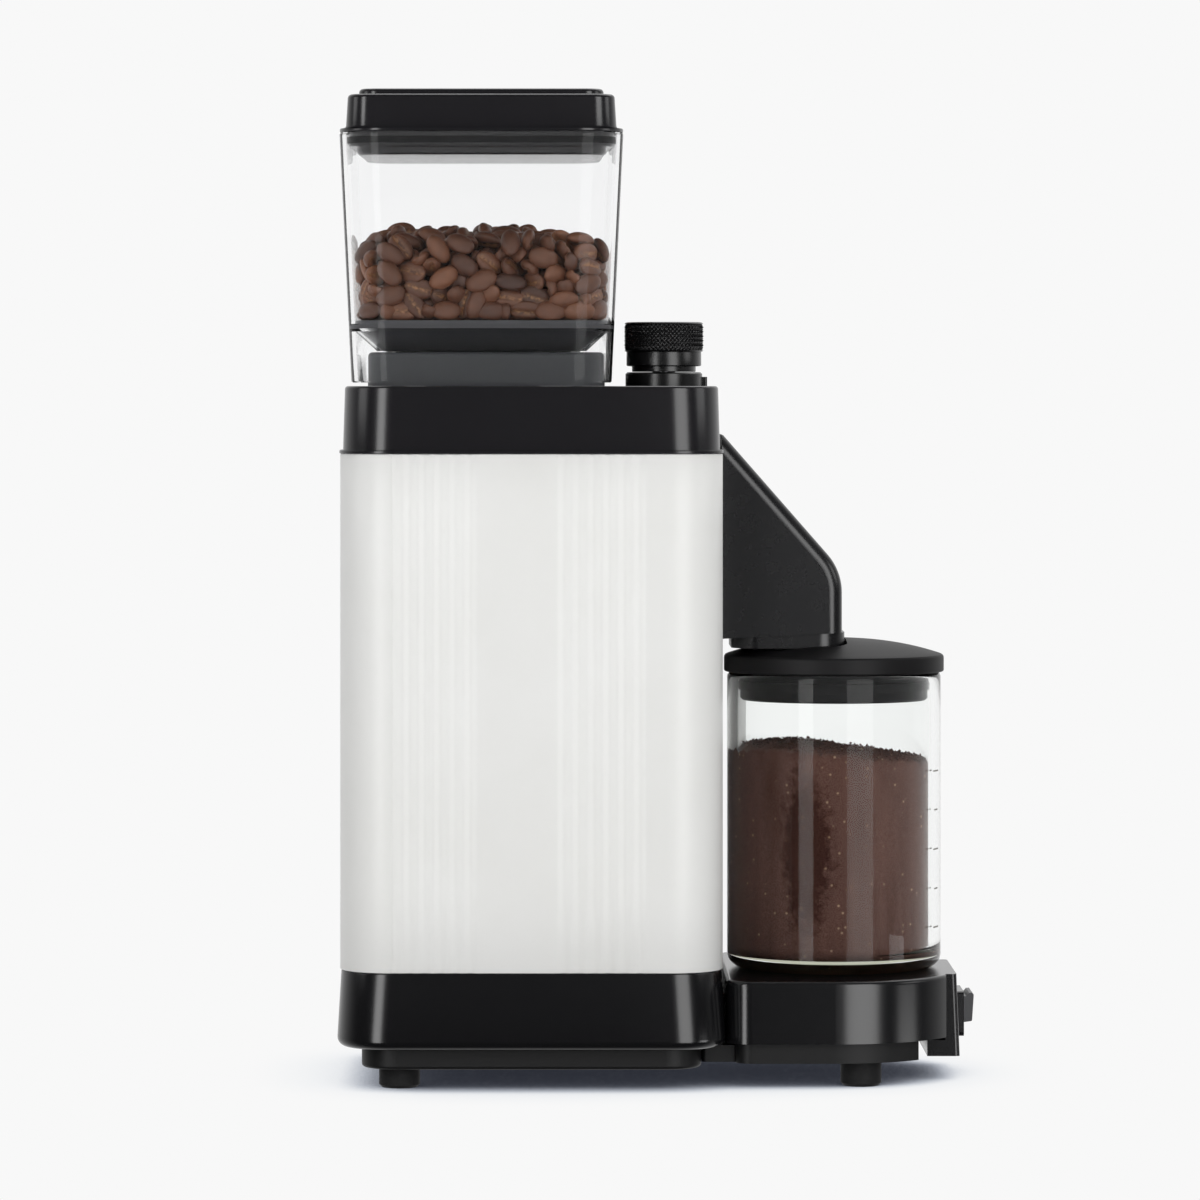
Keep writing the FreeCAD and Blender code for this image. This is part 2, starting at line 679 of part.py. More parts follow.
b = new_body("FrontPlate", X(0))
s0 = sketch(b, "front_plate_side", "XZ_Plane")
poly(s0, [(135.8, d("fplate_bot")), (d("fplate_x_bot"), d("fplate_bot")),
          (d("fplate_x_top"), d("fplate_top")),
          (d("plat_front"), d("fplate_top")), (d("plat_front"), 13.7),
          (135.8, 13.7)])
pad(b, s0, 2 * d("fplate_half"), mid=True)
round_edges(b, lambda e: abs(e.BoundBox.YLength) < .01 and
            e.BoundBox.XMax > 145.5 and e.BoundBox.ZLength > 20, 1.5)
s1 = sketch(b, "plate_window", "YZ_Plane", offset=150)
rrect(s1, 0, 21.2, 20.6, 14.6, 0.2)
pocket(b, s1, 12)
node(b, "switch_plate")

# --------------------------------------------------------------------- switch
b = new_body("SwitchBezel", X(0))
s0 = sketch(b, "bezel_outline", "YZ_Plane", offset=d("fplate_x_bot"))
rrect(s0, 0, (d("bezel_bot") + d("bezel_top")) / 2, 2 * d("bezel_half"),
      d("bezel_top") - d("bezel_bot"), 1.6)
pad(b, s0, d("bezel_front") - d("fplate_x_bot"))
s1 = sketch(b, "bezel_opening", "YZ_Plane", offset=d("bezel_front"))
rrect(s1, 0, 21.25, 19.2, 13.7, 0.6)
pocket(b, s1, 6)
node(b, "switch_bezel")

sb = box("switch_block", X(132.3), X(147), -10.2, 10.2, 14.0, 28.4)
sr = box("switch_recess", X(143.2), X(148), -8.9, 8.9, 14.7, 27.8)
sp = cyl("switch_pivot_hole", d("rocker_z"), X(d("rocker_x") - 1.6), -9.9,
         9.9, d("trunnion_r") + d("run_gap"), "Y")
t1 = box("terminal_one", X(126.3), X(132.3), -6.5, -5.7, 18, 24)
t2 = box("terminal_two", X(126.3), X(132.3), 5.7, 6.5, 18, 24)
node(cut("SwitchBody", fuse("switch_body_blank", [sb, t1, t2]), [sr, sp]),
     "switch_body")

b = new_body("Rocker", X(0))
s0 = sketch(b, "rocker_side", "XZ_Plane")
poly(s0, [(144.6, 15.6), (148.6, 15.0), (149.6, 18.0), (152.4, 18.4),
          (153.0, 27.5), (152.5, 28.2), (151.4, 28.15), (150.4, 27.0),
          (144.6, 26.8)])
pad(b, s0, 2 * d("rocker_half"), mid=True)
round_edges(b, lambda e: e.BoundBox.YLength > 10 and e.BoundBox.XMin > 151.5
            and e.BoundBox.ZMax < 19, 0.5)
s1 = sketch(b, "rocker_trunnions", "XZ_Plane")
circle(s1, d("rocker_x") - 1.6, d("rocker_z"), d("trunnion_r"))
pad(b, s1, 19.6, mid=True)
node(b, "switch_rocker")

# -------------------------------------------------------------- body sleeve
b = new_body("BodySleeve", X(0))
s0 = sketch(b, "sleeve_outline", offset=d("base_top"))
rrect(s0, 0, 0, bw, bw, d("body_corner"))
pad(b, s0, d("sleeve_top") - d("base_top"))
s1 = sketch(b, "sleeve_inside", offset=d("sleeve_top"))
rrect(s1, 0, 0, bw - 2 * d("sleeve_wall"), bw - 2 * d("sleeve_wall"),
      d("body_corner") - d("sleeve_wall"))
pocket(b, s1, d("sleeve_top") - d("base_top"))
s2 = sketch(b, "flutes", offset=d("sleeve_top"))
off = bw / 2 + d("flute_r") - d("flute_depth")
for start in ("flute_a", "flute_b"):
    for k in range(int(val(d("flute_count")))):
        for side in (-1, 1):
            circle(s2, d(start) + k * d("flute_pitch"), side * off,
                   d("flute_r"))
pocket(b, s2, d("sleeve_top") - d("base_top"))
s3 = sketch(b, "duct_window", "YZ_Plane", offset=70)
rrect(s3, 0, (d("duct_bot") + d("duct_top")) / 2, 2 * d("duct_half") + 1.0,
      d("duct_top") - d("duct_bot") + 1.0, 1.0)
pocket(b, s3, 12)
s4 = sketch(b, "chute_screw_holes", "YZ_Plane", offset=70)
for y, z in ((-17, 216.0 - 8), (17, 216.0 - 8), (-17, 160), (17, 160)):
    circle(s4, y, z, d("screw_r") + 0.1)
pocket(b, s4, 12)
node(b, "body_sleeve")

# ---------------------------------------------------------------- top cover
b = new_body("TopCover", X(0))
s0 = sketch(b, "cover_bottom", offset=d("sleeve_top"))
rrect(s0, 0, 0, d("cover_w_bot"), d("cover_w_bot"), d("body_corner") - 0.9)
secs = [s0]
for k, (dz, dw) in enumerate(((1.0, 0.0), (0.3, 0.5), (0.0, 1.7))):
    s1 = sketch(b, "cover_crown%d" % k, offset=d("cover_top") - dz)
    rrect(s1, 0, 0, d("cover_w_top") - dw, d("cover_w_top") - dw,
          d("body_corner") - 0.9 - dw / 2)
    secs.append(s1)
loft(b, secs)
sl = sketch(b, "cover_lip", offset=d("sleeve_top"))
rrect(sl, 0, 0, d("cover_lip_w"), d("cover_lip_w"), d("body_corner"))
pad(b, sl, d("cover_lip_top") - d("sleeve_top"))
s2 = sketch(b, "cover_inside", offset=d("sleeve_top"))
rrect(s2, 0, 0, d("cover_w_top") - 2 * d("cover_wall"),
      d("cover_w_top") - 2 * d("cover_wall"),
      d("body_corner") - 0.9 - d("cover_wall"))
pocket(b, s2, d("cover_top") - d("sleeve_top") - d("cover_wall"), rev=True)
s3 = sketch(b, "throat_hole", offset=d("cover_top"))
circle(s3, d("hop_cx"), 0, d("collar_bore"))
pocket(b, s3, 6)
s4 = sketch(b, "knob_boss", offset=d("cover_top") - d("cover_wall"))
circle(s4, d("knob_cx"), 0, 7.0)
pad(b, s4, 3.6, rev=True)
s5 = sketch(b, "knob_hole", offset=d("cover_top"))
circle(s5, d("knob_cx"), 0, d("knob_shaft_r") + d("run_gap"))
pocket(b, s5, 12)
s6 = sketch(b, "collar_holes", offset=d("cover_top"))
for sx in (-31, 31):
    for sy in (-31, 31):
        circle(s6, d("collar_cx") + sx, sy, d("screw_r") + 0.1)
pocket(b, s6, 6)
node(b, "top_cover")

b = new_body("HopperCollar", X(d("collar_cx")))
s0 = sketch(b, "collar_outline", offset=d("cover_top"))
rrect(s0, 0, 0, d("collar_w"), d("collar_w"), 14)
pad(b, s0, d("collar_top") - d("cover_top"))
round_edges(b, at_z(d("collar_top")), 1.0)
s1 = sketch(b, "collar_bore", offset=d("collar_top"))
circle(s1, d("hop_cx") - d("collar_cx"), 0, d("collar_bore"))
pocket(b, s1, d("collar_top") - d("cover_top"))
s2 = sketch(b, "collar_screw_holes", offset=d("cover_top"))
for sx in (-31, 31):
    for sy in (-31, 31):
        circle(s2, sx, sy, d("screw_r") + 0.1)
pocket(b, s2, 7.6, rev=True)
node(b, "hopper_collar")

for i, sx in enumerate((-31, 31)):
    for j, sy in enumerate((-31, 31)):
        screws.append(screw("CollarScrew%d%d" % (i, j),
                            X(d("collar_cx") + sx), sy,
                            d("cover_top") - d("cover_wall"),
                            d("cover_top") + 7, d("screw_r"),
                            d("screw_head_r"), 2.0))

# --------------------------------------------------------------------- hopper
hc = X(d("hop_cx"))
b = new_body("Hopper", hc)
s0 = sketch(b, "hopper_bottom", offset=d("hop_bot"))
rrect(s0, 0, 0, d("hop_w_bot"), d("hop_w_bot"), d("hop_corner") - 1.0)
s1 = sketch(b, "hopper_mouth", offset=d("hop_top"))
rrect(s1, 0, 0, d("hop_w_top"), d("hop_w_top"), d("hop_corner"))
loft(b, [s0, s1])
w2 = 2 * d("hop_wall")
s2 = sketch(b, "hopper_bottom_in", offset=d("hop_bot"))
rrect(s2, 0, 0, d("hop_w_bot") - w2, d("hop_w_bot") - w2,
      d("hop_corner") - 1.0 - d("hop_wall"))
s3 = sketch(b, "hopper_mouth_in", offset=d("hop_top"))
rrect(s3, 0, 0, d("hop_w_top") - w2, d("hop_w_top") - w2,
      d("hop_corner") - d("hop_wall"))
loft(b, [s2, s3], cutting=True)
# sloping shelf under the floor, which rests on the collar
g = new_body("HopperShelf", hc)
t0 = sketch(g, "shelf_low", offset=d("collar_top") + 0.4)
rrect(t0, 0, 0, 72, 72, 10)
t1 = sketch(g, "shelf_high", offset=d("hop_floor_bot") - 0.1)
rrect(t1, 0, 0, 88.0, 88.0, 13)
loft(g, [t0, t1])
t2 = sketch(g, "shelf_low_in", offset=d("collar_top") + 0.4)
rrect(t2, 0, 0, 68.4, 68.4, 8.5)
t3 = sketch(g, "shelf_high_in", offset=d("hop_floor_bot") - 0.1)
rrect(t3, 0, 0, 84.4, 84.4, 11.5)
loft(g, [t2, t3], cutting=True)
node(fuse("HopperShell", [b, g]), "hopper")

b = new_body("HopperFloor", hc)
s0 = sketch(b, "floor_outline", offset=d("hop_floor_bot"))
rrect(s0, 0, 0, 86.4, 86.4, 12.4)
pad(b, s0, d("hop_floor_top") - d("hop_floor_bot"))
f0 = sketch(b, "funnel_low", offset=d("collar_top") + 0.5)
rrect(f0, 0, 0, 67.8, 67.8, 8.3)
f1 = sketch(b, "funnel_high", offset=d("hop_floor_bot"))
rrect(f1, 0, 0, 83.8, 83.8, 11.3)
loft(b, [f0, f1])
s1 = sketch(b, "throat_tube", offset=d("throat_bot"))
circle(s1, 0, 0, d("throat_r"))
pad(b, s1, d("hop_floor_top") - d("throat_bot"))
s2 = sketch(b, "throat_way", offset=d("hop_floor_top"))
circle(s2, 0, 0, d("throat_r") - d("throat_wall"))
pocket(b, s2, d("hop_floor_top") - d("throat_bot"))
node(b, "hopper_floor")

b = new_body("Beans", hc)
s0 = sketch(b, "beans_low", offset=d("hop_floor_top") + 0.1)
rrect(s0, 0, 0, 85.8, 85.8, 12)
s1 = sketch(b, "beans_high", offset=d("beans_top"))
rrect(s1, 0, 0, 88.6, 88.6, 13)
loft(b, [s0, s1])
node(b, "coffee_beans")

# ----------------------------------------------------------------- hopper lid
b = new_body("HopperLid", hc)
s0 = sketch(b, "lid_flange", offset=d("hop_top") + 0.1)
rrect(s0, 0, 0, d("lid_flange_w"), d("lid_flange_w"), d("hop_corner"))
pad(b, s0, d("lid_flange_t"))
s1 = sketch(b, "lid_skirt_low", offset=d("hop_top") + 0.1 + d("lid_flange_t"))
rrect(s1, 0, 0, d("lid_w_bot"), d("lid_w_bot"), d("lid_corner") + 0.4)
secs = [s1]
for k, (dz, dw) in enumerate(((1.2, 0.0), (0.35, 0.6), (0.0, 2.2))):
    s2 = sketch(b, "lid_skirt_high%d" % k, offset=d("lid_shoulder") - dz)
    rrect(s2, 0, 0, d("lid_w_top") - dw, d("lid_w_top") - dw,
          d("lid_corner") - dw / 2)
    secs.append(s2)
loft(b, secs)
s3 = sketch(b, "lid_panel", offset=d("lid_shoulder"))
rrect(s3, 0, 0, d("lid_panel_w"), d("lid_panel_w"), 6.5)
pad(b, s3, d("lid_top") - d("lid_shoulder"))
round_edges(b, at_z(d("lid_top")), 1.5)
s4 = sketch(b, "lid_inside", offset=d("hop_top") + 0.1)
rrect(s4, 0, 0, 84, 84, 10)
pocket(b, s4, 10.2, rev=True)
node(b, "hopper_lid")

b = new_body("LidPlug", hc)
s0 = sketch(b, "plug_low", offset=d("plug_bot"))
rrect(s0, 0, 0, d("plug_w"), d("plug_w"), 12.5)
pad(b, s0, d("plug_step") - d("plug_bot"))
round_edges(b, at_z(d("plug_bot")), 1.5)
s1 = sketch(b, "plug_high", offset=d("plug_step"))
rrect(s1, 0, 0, d("plug_w_top"), d("plug_w_top"), 13)
pad(b, s1, d("hop_top") + 0.1 - d("plug_step"))
s2 = sketch(b, "plug_inside", offset=d("hop_top") + 0.1)
rrect(s2, 0, 0, 80, 80, 10)
pocket(b, s2, 6.2)
s3 = sketch(b, "seal_groove_in", offset=d("plug_step") + 1.0)
rrect(s3, 0, 0, d("plug_w_top") - 2.4, d("plug_w_top") - 2.4, 11.8)
s4 = s3
rrect(s4, 0, 0, d("plug_w_top") + 4, d("plug_w_top") + 4, 15)
pocket(b, s3, 2.4, rev=True)
node(b, "lid_plug")

b = new_body("LidSeal", hc)
s0 = sketch(b, "seal_ring", offset=d("plug_step") + 1.1)
rrect(s0, 0, 0, 92.0, 92.0, 13.4)
rrect(s0, 0, 0, d("plug_w_top") - 2.3, d("plug_w_top") - 2.3, 11.85)
pad(b, s0, 2.2)
node(b, "lid_seal")

# ----------------------------------------------------------------------- knob
kx = X(d("knob_cx"))
b = new_body("KnobRing", kx)
s0 = sketch(b, "knob_ring_profile", "XZ_Plane")
poly(s0, [(d("knob_shaft_r") + d("run_gap"), d("cover_top")),
          (d("knob_ring_r"), d("cover_top")),
          (d("knob_ring_r"), d("knob_ring_top") - 0.6),
          (d("knob_ring_r") - 0.6, d("knob_ring_top")),
          (d("knob_shaft_r") + d("run_gap"), d("knob_ring_top"))])
revolve(b, s0)
s1 = sketch(b, "index_mark", offset=d("cover_top"))
rrect(s1, d("knob_ring_r") - 0.6, 0, 4.6, 2.4, 0.6)
pad(b, s1, 3.2)
node(b, "knob_base_ring")

b = new_body("Knob", kx)
s0 = sketch(b, "knob_profile", "XZ_Plane")
poly(s0, [(d("knob_shaft_r"), d("knob_ring_top") + 0.15),
          (d("knob_spigot_r"), d("knob_ring_top") + 0.15),
          (d("knob_spigot_r"), d("knob_neck_bot")),
          (d("knob_neck_r"), d("knob_neck_bot")),
          (d("knob_neck_r"), d("knob_grip_bot")),
          (d("knob_r") - 0.5, d("knob_grip_bot")),
          (d("knob_r"), d("knob_grip_bot") + 0.5),
          (d("knob_r"), d("knob_top") - 0.8),
          (d("knob_r") - 0.8, d("knob_top")),
          (0, d("knob_top")), (0, 256.5), (d("knob_shaft_r"), 256.5)])
revolve(b, s0)
node(b, "grind_knob")

kp_r = d("ring_module") * d("knob_pinion_teeth") / 2
b = turned("KnobShaft", kx, 0, [
    (0, 221.0), (d("knob_shaft_r"), 221.0), (d("knob_shaft_r"), 256.5),
    (0, 256.5)])
node(b, "knob_shaft")


# ---------------------------------------------------------------------- gears
def involute_angle(r, rb):
    if r <= rb:
        return 0.0
    a = math.acos(rb / r)
    return math.tan(a) - a


def tooth(s, module, teeth, phase, addendum, root_pad, slack):
    """One straight-flanked tooth drawn inside the involute flank."""
    m, z = module.v, teeth.v
    rp = m * z / 2
    rb = rp * math.cos(math.radians(20))
    ra = rp + addendum * m
    rr = max(rp - 1.1 * m, rb * 0.985)
    half = math.pi / (2 * z) - slack / rp
    base = half + involute_angle(rp, rb)

    def ang(r):
        return base - involute_angle(r, rb)
    a0, a1 = ang(rr), ang(ra)
    rin = rp - 1.1 * m - root_pad
    pts = [(rin, a0), (rr, a0), (ra, a1), (ra, -a1), (rr, -a0), (rin, -a0)]
    v = [FreeCAD.Vector(r * math.cos(t + phase), r * math.sin(t + phase), 0)
         for r, t in pts]
    # drop the inner points when they coincide
    for k in range(len(v)):
        s.addGeometry(Part.LineSegment(v[k], v[(k + 1) % len(v)]), False)
    for k in range(len(v)):
        s.addConstraint(Sketcher.Constraint(
            "Coincident", k, 2, (k + 1) % len(v), 1))
    for k in range(len(v)):
        s.addConstraint(Sketcher.Constraint("Block", k))


def spur(name, x, module, teeth, z0, z1, bore, phase, count=None, add=0.8,
         slack=0.04, hub=None):
    b = new_body(name, x)
    s0 = sketch(b, name + "_blank", offset=z0)
    circle(s0, 0, 0, module * teeth / 2 - 1.1 * module)
    pad(b, s0, z1 - z0)
    s1 = sketch(b, name + "_tooth", offset=z0)
    tooth(s1, module, teeth, phase, add, 0.4, slack)
    t = pad(b, s1, z1 - z0)
    polar(b, t, teeth)
    doc.recompute()
    if hub:
        s3 = sketch(b, name + "_hub", offset=hub[0])
        circle(s3, 0, 0, hub[2])
        pad(b, s3, Q.of(hub[1]) - Q.of(hub[0]))
    s2 = sketch(b, name + "_bore", offset=z1 + 20)
    circle(s2, 0, 0, bore)
    pocket(b, s2, z1 - z0 + 40)
    return b


gm, gz, pz = d("gear_module"), d("gear_teeth"), d("pinion_teeth")
motor_cx = d("burr_cx") + gm * (gz + pz) / 2
mx = X(motor_cx)
bx = X(d("burr_cx"))

# the big gear has a tooth on the line of centres, the pinion a gap
b = spur("ReductionGear", bx, gm, gz, d("gear_bot"), d("gear_top"),
         d("burr_shaft_r"), 0.0)
sg = sketch(b, "gear_lightening", offset=d("gear_top"))
for k in range(6):
    a = math.radians(60 * k + 30)
    circle(sg, 18 * math.cos(a), 18 * math.sin(a), 5.5)
pocket(b, sg, d("gear_top") - d("gear_bot"))
node(b, "reduction_gear")
b = spur("MotorPinion", mx, gm, pz, d("gear_bot") - 1.0,
         d("gear_top") + 0.8, d("motor_shaft_r"),
         math.pi + math.pi / 14)
node(b, "motor_pinion")

b = spur("KnobPinion", kx, d("ring_module"), d("knob_pinion_teeth"),
         d("sector_bot") - 0.5, d("sector_top") + 0.5, d("knob_shaft_r"),
         math.pi + math.pi / 18)
node(b, "knob_pinion")

# grind adjusting ring: a threaded ring with a toothed sector towards the knob
rm, rz = d("ring_module"), d("ring_teeth")
b = new_body("AdjustingRing", bx)
root = rm * rz / 2 - 1.1 * rm
s1 = sketch(b, "sector_disc", offset=d("sector_bot"))
circle(s1, 0, 0, root)
pad(b, s1, d("sector_top") - d("sector_bot"))
step = 2 * math.pi / rz.v
s2 = sketch(b, "sector_tooth", offset=d("sector_bot"))
tooth(s2, rm, rz, -8 * step, 0.8, 0.4, 0.04)
t = pad(b, s2, d("sector_top") - d("sector_bot"))
p = b.newObject("PartDesign::PolarPattern", "sector_teeth")
p.Originals = [t]
p.Axis = ([o for o in b.Origin.OriginFeatures if o.Role == "Z_Axis"][0], [""])
p.Angle = math.degrees(16 * step)
p.Occurrences = 17
b.Tip = p
ca, sa = math.cos(math.radians(46)), math.sin(math.radians(46))
s2 = sketch(b, "sector_ends", offset=d("sector_top") + 1)
poly(s2, [(0, 0), (90 * ca, 90 * sa), (-20, 90), (-90, 90), (-90, -90),
          (-20, -90), (90 * ca, -90 * sa)])
pocket(b, s2, 10)
s0 = sketch(b, "ring_outline", offset=d("ring_bot"))
circle(s0, 0, 0, d("chamber_r"))
pad(b, s0, d("ring_top") - d("ring_bot"))
s3 = sketch(b, "ring_thread_bore", offset=d("ring_top"))
circle(s3, 0, 0, 32.6)
pocket(b, s3, 20)
node(b, "adjusting_ring")

# ------------------------------------------------------- burrs and their shaft
lb, bt = d("lower_burr_bot"), d("burr_t")
ub = lb + bt + d("burr_gap")


def burr(name, label, z0, z1, groove_z, lift):
    b = turned(name, bx, 0, [
        (d("burr_bore"), z0), (d("burr_r"), z0), (d("burr_r"), z1),
        (d("burr_bore"), z1)])
    # slanted cutting grooves across the working face
    s = sketch(b, name + "_groove", offset=groove_z)
    poly(s, [(8.0, -1.0), (27.0, 5.0), (27.0, 7.0), (8.0, 1.0)])
    t = pocket(b, s, 1.2, rev=lift)
    polar(b, t, 20)
    s = sketch(b, name + "_holes", offset=z1)
    for k in range(3):
        a = math.radians(120 * k + 9)
        circle(s, 19 * math.cos(a), 19 * math.sin(a), d("screw_r") + 0.1)
    pocket(b, s, 8)
    return node(b, label)


burr("LowerBurr", "lower_burr", lb, lb + bt, lb + bt, False)
burr("UpperBurr", "upper_burr", ub, ub + bt, ub, True)

b = turned("LowerCarrier", bx, 0, [
    (d("burr_shaft_r"), 196.6), (9.0, 196.6), (9.0, 198.0), (30.0, 198.0),
    (30.0, lb), (12.6, lb), (12.6, lb + 3.0), (d("burr_shaft_r"), lb + 3.0)])
s = sketch(b, "sweeper", offset=198.0)
poly(s, [(25.5, -1.2), (33.0, -1.2), (33.0, 1.2), (25.5, 1.2)])
t = pad(b, s, 9.0)
polar(b, t, 4)
doc.recompute()
node(b, "lower_burr_carrier")

b = turned("UpperCarrier", bx, 0, [
    (14.0, ub + bt), (31.0, ub + bt), (31.0, 216.8), (32.3, 216.8),
    (32.3, 229.0), (26.0, 229.0), (14.0, 219.0)])
s = sketch(b, "upper_carrier_holes", offset=230)
for k in range(3):
    a = math.radians(120 * k + 9)
    circle(s, 19 * math.cos(a), 19 * math.sin(a), d("screw_r") + 0.1)
pocket(b, s, 20)
node(b, "upper_burr_carrier")

lo, up = [], []
for k in range(3):
    a = math.radians(120 * k + 9)
    sx, sy = 19 * math.cos(a), 19 * math.sin(a)
    lo.append(cyl("LowerBurrScrew%d" % k, bx + sx, sy, lb, lb + bt - 1.4,
                  d("screw_r")))
    up.append(cyl("UpperBurrScrew%d" % k, bx + sx, sy, ub + 1.4,
                  ub + bt + 6.0, d("screw_r")))
node(group("LowerBurrScrews", lo), "lower_burr_screws")
node(group("UpperBurrScrews", up), "upper_burr_screws")

b = turned("BurrShaft", bx, 0, [
    (0, 171.4), (d("burr_shaft_r") - 0.5, 171.4), (d("burr_shaft_r"), 171.9),
    (d("burr_shaft_r"), 178.4), (7.0, 178.4), (7.0, d("gear_bot")),
    (d("burr_shaft_r"), d("gear_bot")), (d("burr_shaft_r"), lb + 4.0),
    (3.0, lb + 6.0), (0, lb + 6.0)])
node(b, "burr_shaft")
b = turned("ShaftNut", bx, 0, [
    (d("burr_shaft_r"), d("gear_top")), (9.0, d("gear_top")),
    (9.0, d("gear_top") + 1.2), (d("burr_shaft_r"), d("gear_top") + 1.2)])
node(b, "gear_retaining_ring")

brg = []
for k, z in enumerate((171.2, 189.0)):
    brg.append(turned("Bearing%d" % k, bx, 0, [
        (d("burr_shaft_r") + d("run_gap"), z), (7.2, z), (7.2, z + 0.5),
        (8.8, z + 0.5), (8.8, z), (d("bearing_r"), z),
        (d("bearing_r"), z + 7), (8.8, z + 7), (8.8, z + 6.5),
        (7.2, z + 6.5), (7.2, z + 7),
        (d("burr_shaft_r") + d("run_gap"), z + 7)]))
node(group("ShaftBearings", brg), "burr_shaft_bearings")

# -------------------------------------------------- chassis, gearbox, chamber
b = new_body("Chassis", X(0))
s0 = sketch(b, "deck_outline", offset=d("deck_bot"))
rrect(s0, 0, 0, 118, 118, 14)
pad(b, s0, d("deck_top") - d("deck_bot"))
s1 = sketch(b, "deck_columns", offset=d("base_bot") + d("base_floor"))
for sx in (-50, 50):
    for sy in (-50, 50):
        circle(s1, sx, sy, 5)
pad(b, s1, d("deck_top") - d("base_bot") - d("base_floor"))
s4 = sketch(b, "bearing_boss", offset=168.0)
circle(s4, d("burr_cx"), 0, 13.5)
pad(b, s4, d("deck_top") - 168.0)
s2 = sketch(b, "bearing_bore", offset=d("deck_top"))
circle(s2, d("burr_cx"), 0, d("bearing_r"))
pocket(b, s2, d("deck_top") - 171.2)
s7 = sketch(b, "motor_spacers", offset=d("deck_bot"))
for a in (45, 135, 225, 315):
    circle(s7, motor_cx + 20 * math.cos(math.radians(a)),
           20 * math.sin(math.radians(a)), 4.5)
pad(b, s7, 4.0, rev=True)
s3 = sketch(b, "motor_nose_hole", offset=d("deck_top"))
circle(s3, motor_cx, 0, 9.0)
pocket(b, s3, 6)
s5 = sketch(b, "motor_screw_holes", offset=d("deck_top"))
for a in (45, 135, 225, 315):
    circle(s5, motor_cx + 20 * math.cos(math.radians(a)),
           20 * math.sin(math.radians(a)), d("screw_r") + 0.1)
pocket(b, s5, 10)
s6 = sketch(b, "column_holes", offset=d("base_bot") + d("base_floor"))
for sx in (-50, 50):
    for sy in (-50, 50):
        circle(s6, sx, sy, 1.2)
pocket(b, s6, 10, rev=True)
node(b, "chassis_frame")

b = new_body("Gearbox", X(0))
s0 = sketch(b, "gearbox_outline", offset=d("deck_top"))
rrect(s0, -5.2, 0, 96, 72, 12)
pad(b, s0, d("gbox_top") - d("deck_top"))
s1 = sketch(b, "gearbox_inside", offset=d("deck_top"))
rrect(s1, -5.2, 0, 90, 66, 9)
pocket(b, s1, 13.0, rev=True)
s2 = sketch(b, "gearbox_bore", offset=d("gbox_top"))
circle(s2, d("burr_cx"), 0, d("bearing_r"))
pocket(b, s2, 8)
node(b, "gearbox_housing")

b = turned("Chamber", bx, 0, [
    (d("bearing_r"), d("gbox_top")), (d("chamber_r"), d("gbox_top")),
    (d("chamber_r"), d("chamber_top")), (d("chamber_bore"), d("chamber_top")),
    (d("chamber_bore"), 196.2), (d("bearing_r"), 196.2)])
s = sketch(b, "outlet", "YZ_Plane", offset=45)
rrect(s, 0, 202.6, 2 * (d("duct_half") - d("duct_wall")), 11.6, 0.8)
pocket(b, s, 20)
node(b, "grinding_chamber")

# -------------------------------------------------------------------- motor
mc = d("motor_r")
b = turned("MotorCan", mx, 0, [
    (9.0, d("deck_bot") - 4.0), (mc, d("deck_bot") - 4.0),
    (mc, d("motor_bot")), (mc - d("motor_wall"), d("motor_bot")),
    (mc - d("motor_wall"), d("deck_bot") - 6.5), (9.0, d("deck_bot") - 6.5)])
node(b, "motor_can")
b = turned("MotorNose", mx, 0, [
    (d("motor_shaft_r") + d("run_gap"), d("deck_bot") - 9.0),
    (9.0, d("deck_bot") - 9.0), (9.0, d("deck_top") - 1.0),
    (d("motor_shaft_r") + d("run_gap"), d("deck_top") - 1.0)])
node(b, "motor_nose_bearing")
mscr = []
for k, a in enumerate((45, 135, 225, 315)):
    sx, sy = 20 * math.cos(math.radians(a)), 20 * math.sin(math.radians(a))
    mscr.append(screw("MotorScrew%d" % k, mx + sx, sy, d("deck_top"),
                      d("deck_bot") - 4.0, d("screw_r"), d("screw_head_r"),
                      2.0, up=False))
node(group("MotorScrews", mscr), "motor_screws")
b = turned("MotorCap", mx, 0, [
    (d("motor_shaft_r") + d("run_gap"), d("motor_cap_bot")),
    (8.0, d("motor_cap_bot")), (8.0, 103.0), (mc, 103.0),
    (mc, d("motor_bot")), (7.0, d("motor_bot")), (7.0, 106.6),
    (d("motor_shaft_r") + d("run_gap"), 106.6)])
node(b, "motor_end_cap")
mags = []
for k, a in enumerate((0, 180)):
    m = cut("Magnet%d" % k, cyl("magnet_o%d" % k, mx, 0, 114, 156, 28.8),
            [cyl("magnet_i%d" % k, mx, 0, 113, 157, 20.5),
             box("magnet_cut_l%d" % k, mx - 40, mx + 40,
                 -40 if k == 0 else -6, 6 if k == 0 else 40, 113, 157)])
    mags.append(m)
node(group("MotorMagnets", mags), "motor_magnets")
b = new_body("Armature", mx)
s0 = sketch(b, "armature_stack", offset=117)
circle(s0, 0, 0, d("rotor_r"))
pad(b, s0, 36)
s1 = sketch(b, "armature_slot", offset=153)
rrect(s1, 14.5, 0, 12.0, 2.6, 1.2)
t = pocket(b, s1, 36)
polar(b, t, 8)
doc.recompute()
s2 = sketch(b, "armature_bore", offset=160)
circle(s2, 0, 0, d("motor_shaft_r"))
pocket(b, s2, 60)
node(b, "motor_armature")
b = turned("Commutator", mx, 0, [
    (d("motor_shaft_r"), 107.4), (9.0, 107.4), (9.0, 115.5),
    (d("motor_shaft_r"), 115.5)])
node(b, "motor_commutator")
br = []
for k, sgn in enumerate((-1, 1)):
    y0, y1 = (9.3, 17.0) if sgn > 0 else (-17.0, -9.3)
    br.append(box("Brush%d" % k, mx - 2.5, mx + 2.5, y0, y1, 108.5, 113.0))
node(group("MotorBrushes", br), "motor_brushes")
